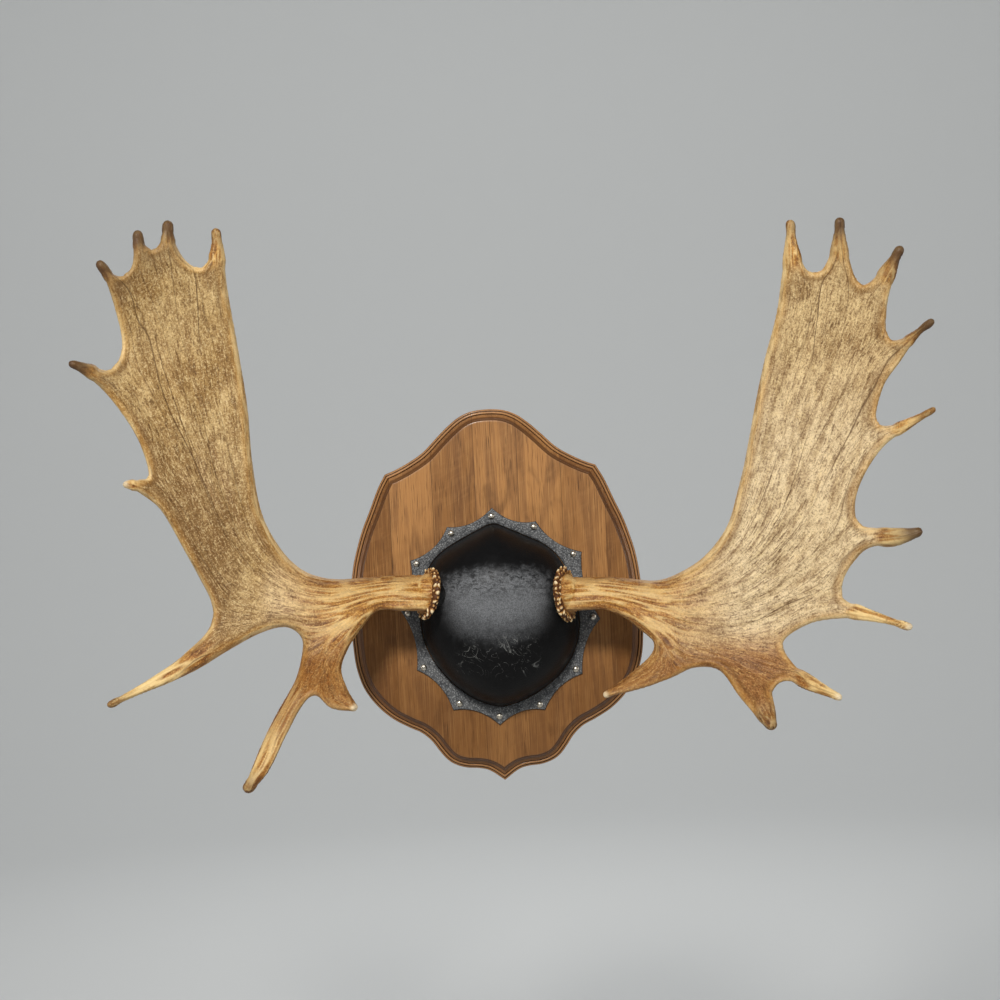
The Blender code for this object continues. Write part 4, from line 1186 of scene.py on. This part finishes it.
class AntlerSettings(bpy.types.PropertyGroup):
    cell: FloatProperty(name="Cell", description="Spacing of the sheet the body is raised from",
                        default=1.5 * MM, unit="LENGTH")
    voxel: FloatProperty(name="Skin", description="Spacing of the finished skin", default=1.25 * MM,
                         unit="LENGTH")
    faces: IntProperty(name="Triangles", description="Most triangles in one antler", default=192000)
    relief: FloatProperty(name="Relief", description="Strength of ridges and grooves", default=1.0)
    tint: FloatVectorProperty(name="Bone tint", description="Multiplies the bone's colours", subtype="COLOR",
                              size=3, default=(0.93, 0.94, 0.93))


class PanelSettings(bpy.types.PropertyGroup):
    points: IntProperty(name="Points", description="Points round the outline", default=240)
    rise: FloatProperty(name="Dome rise", description="Height of the leather dome over its foot",
                        default=82 * MM, unit="LENGTH")
    tint: FloatVectorProperty(name="Walnut tint", description="Multiplies the walnut's colours",
                              subtype="COLOR", size=3, default=(1.0, 0.98, 0.90))


class StageSettings(bpy.types.PropertyGroup):
    lens: FloatProperty(name="Lens", description="Camera focal length in millimetres", default=64.1)
    distance: FloatProperty(name="Distance", description="Camera distance from the wall plane", default=2.2,
                            unit="LENGTH")
    roll: FloatProperty(name="Roll", description="Camera roll", default=math.radians(2.8), subtype="ANGLE")
    floor: FloatProperty(name="Floor", description="Height of the floor", default=-1.0, unit="LENGTH")
    paint: FloatVectorProperty(name="Floor colour", description="Colour of the floor", subtype="COLOR",
                               size=3, default=(0.60, 0.61, 0.605))
    ambient: FloatProperty(name="Ambient", description="Strength of the light from all round", default=0.20)
    light: FloatProperty(name="Light", description="Strength of the lamps", default=1.0)


def finish_piece(obj, material, slot, *nodes):
    obj.data.materials.clear()
    obj.data.materials.append(material)
    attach(obj, "root")
    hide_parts(*nodes)


class MOUNT_OT_plaque(bpy.types.Operator):
    """Walnut shield with its routed edge"""
    bl_idname, bl_label = "mount.plaque", "Plaque"

    def execute(self, context):
        panel = context.scene.mount_panel
        finish_piece(build_plaque(panel), walnut_material(panel.tint), "walnut", "plaque")
        return {"FINISHED"}


class MOUNT_OT_leather(bpy.types.Operator):
    """Leather cap and scalloped trim"""
    bl_idname, bl_label = "mount.leather", "Leather"

    def execute(self, context):
        panel = context.scene.mount_panel
        finish_piece(build_cap(panel), dome_leather(), "black_leather", "leather_cap")
        finish_piece(build_trim(), strap_leather(), "grey_leather", "leather_trim")
        return {"FINISHED"}


class MOUNT_OT_tacks(bpy.types.Operator):
    """Twelve domed tacks"""
    bl_idname, bl_label = "mount.tacks", "Tacks"

    def execute(self, context):
        nickel = nickel_material()
        for node, obj in zip(TACKS, build_tacks()):
            finish_piece(obj, nickel, "tack_metal", node)
        return {"FINISHED"}


class MOUNT_OT_antlers(bpy.types.Operator):
    """Both antlers"""
    bl_idname, bl_label = "mount.antlers", "Antlers"

    def execute(self, context):
        settings = context.scene.mount_antlers
        bone = antler_material(settings.tint)
        drawings = {"left": (LEFT, LEFT_FORM, LEFT_BURR), "right": (RIGHT, RIGHT_FORM, RIGHT_BURR)}
        for side, drawing in drawings.items():
            obj, root = build_antler(f"antler_{side}", *drawing, settings)
            finish_piece(obj, bone, "antler", *(f"antler_{side}_{part}" for part in ("beam", "palm", "brow")))
            finish_piece(root, bone, "antler", f"antler_{side}_beam")
        return {"FINISHED"}


def set_lamps(scene, strength):
    for name, place, size, power, colour in LAMPS:
        light = bpy.data.lights.new(name, "AREA")
        light.shape, light.size, light.energy, light.color = "DISK", size, power * strength, colour
        lamp = bpy.data.objects.new(name, light)
        lamp.location = place
        aim = Vector(BACKDROP_AIM if name == "backdrop" else MOUNT_AIM)
        lamp.rotation_euler = (aim - Vector(place)).to_track_quat("-Z", "Y").to_euler()
        scene.collection.objects.link(lamp)


def set_camera(scene, settings):
    """A camera square to the wall, rolled a little."""
    camera = bpy.data.cameras.new("camera")
    camera.lens, camera.sensor_width = settings.lens, 36.0
    view = bpy.data.objects.new("camera", camera)
    up, look = Vector((math.sin(settings.roll), 0, math.cos(settings.roll))), Vector((0, 1, 0))
    turn = Matrix((look.cross(up), up, -look)).transposed().to_4x4()
    view.matrix_world = Matrix.Translation((CAMERA_AT[0], -settings.distance, CAMERA_AT[1])) @ turn
    scene.collection.objects.link(view)
    scene.camera = view


class MOUNT_OT_stage(bpy.types.Operator):
    """Pale floor that sweeps up far behind, soft lights and the camera"""
    bl_idname, bl_label = "mount.stage", "Stage"

    def execute(self, context):
        settings, scene = context.scene.mount_stage, context.scene
        sweep(settings.floor, settings.paint)
        scene.world = bpy.data.worlds.new("studio")
        scene.world.use_nodes = True
        background = scene.world.node_tree.nodes["Background"].inputs
        background["Color"].default_value = (0.93, 0.96, 1.0, 1)
        background["Strength"].default_value = settings.ambient
        set_lamps(scene, settings.light)
        set_camera(scene, settings)
        scene.view_settings.view_transform = "Standard"
        return {"FINISHED"}


class MOUNT_PT_panel(bpy.types.Panel):
    """Sidebar panel with one button for each group"""
    bl_idname, bl_label = "MOUNT_PT_panel", "Antler Mount"
    bl_space_type, bl_region_type, bl_category = "VIEW_3D", "UI", "Antler Mount"

    def draw(self, context):
        for name in ("plaque", "leather", "tacks", "antlers", "stage"):
            self.layout.operator("mount." + name)
        for group, kind in (("mount_antlers", AntlerSettings), ("mount_panel", PanelSettings),
                            ("mount_stage", StageSettings)):
            for key in kind.__annotations__:
                self.layout.prop(getattr(context.scene, group), key)


CLASSES = (AntlerSettings, PanelSettings, StageSettings, MOUNT_OT_plaque, MOUNT_OT_leather, MOUNT_OT_tacks,
           MOUNT_OT_antlers, MOUNT_OT_stage, MOUNT_PT_panel)


def register():
    for cls in CLASSES:
        bpy.utils.register_class(cls)
    bpy.types.Scene.mount_antlers = PointerProperty(type=AntlerSettings)
    bpy.types.Scene.mount_panel = PointerProperty(type=PanelSettings)
    bpy.types.Scene.mount_stage = PointerProperty(type=StageSettings)


def unregister():
    for name in ("mount_antlers", "mount_panel", "mount_stage"):
        delattr(bpy.types.Scene, name)
    for cls in reversed(CLASSES):
        bpy.utils.unregister_class(cls)


def corners(bounds):
    return [[float(v) for v in corner] for corner in bounds]


def main():
    register()
    for step in (bpy.ops.mount.plaque, bpy.ops.mount.leather, bpy.ops.mount.tacks, bpy.ops.mount.antlers,
                 bpy.ops.mount.stage):
        step()
    {"cad": corners(CAD_BOX), "looks": corners(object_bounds())}


if __name__ == "__main__":
    main()
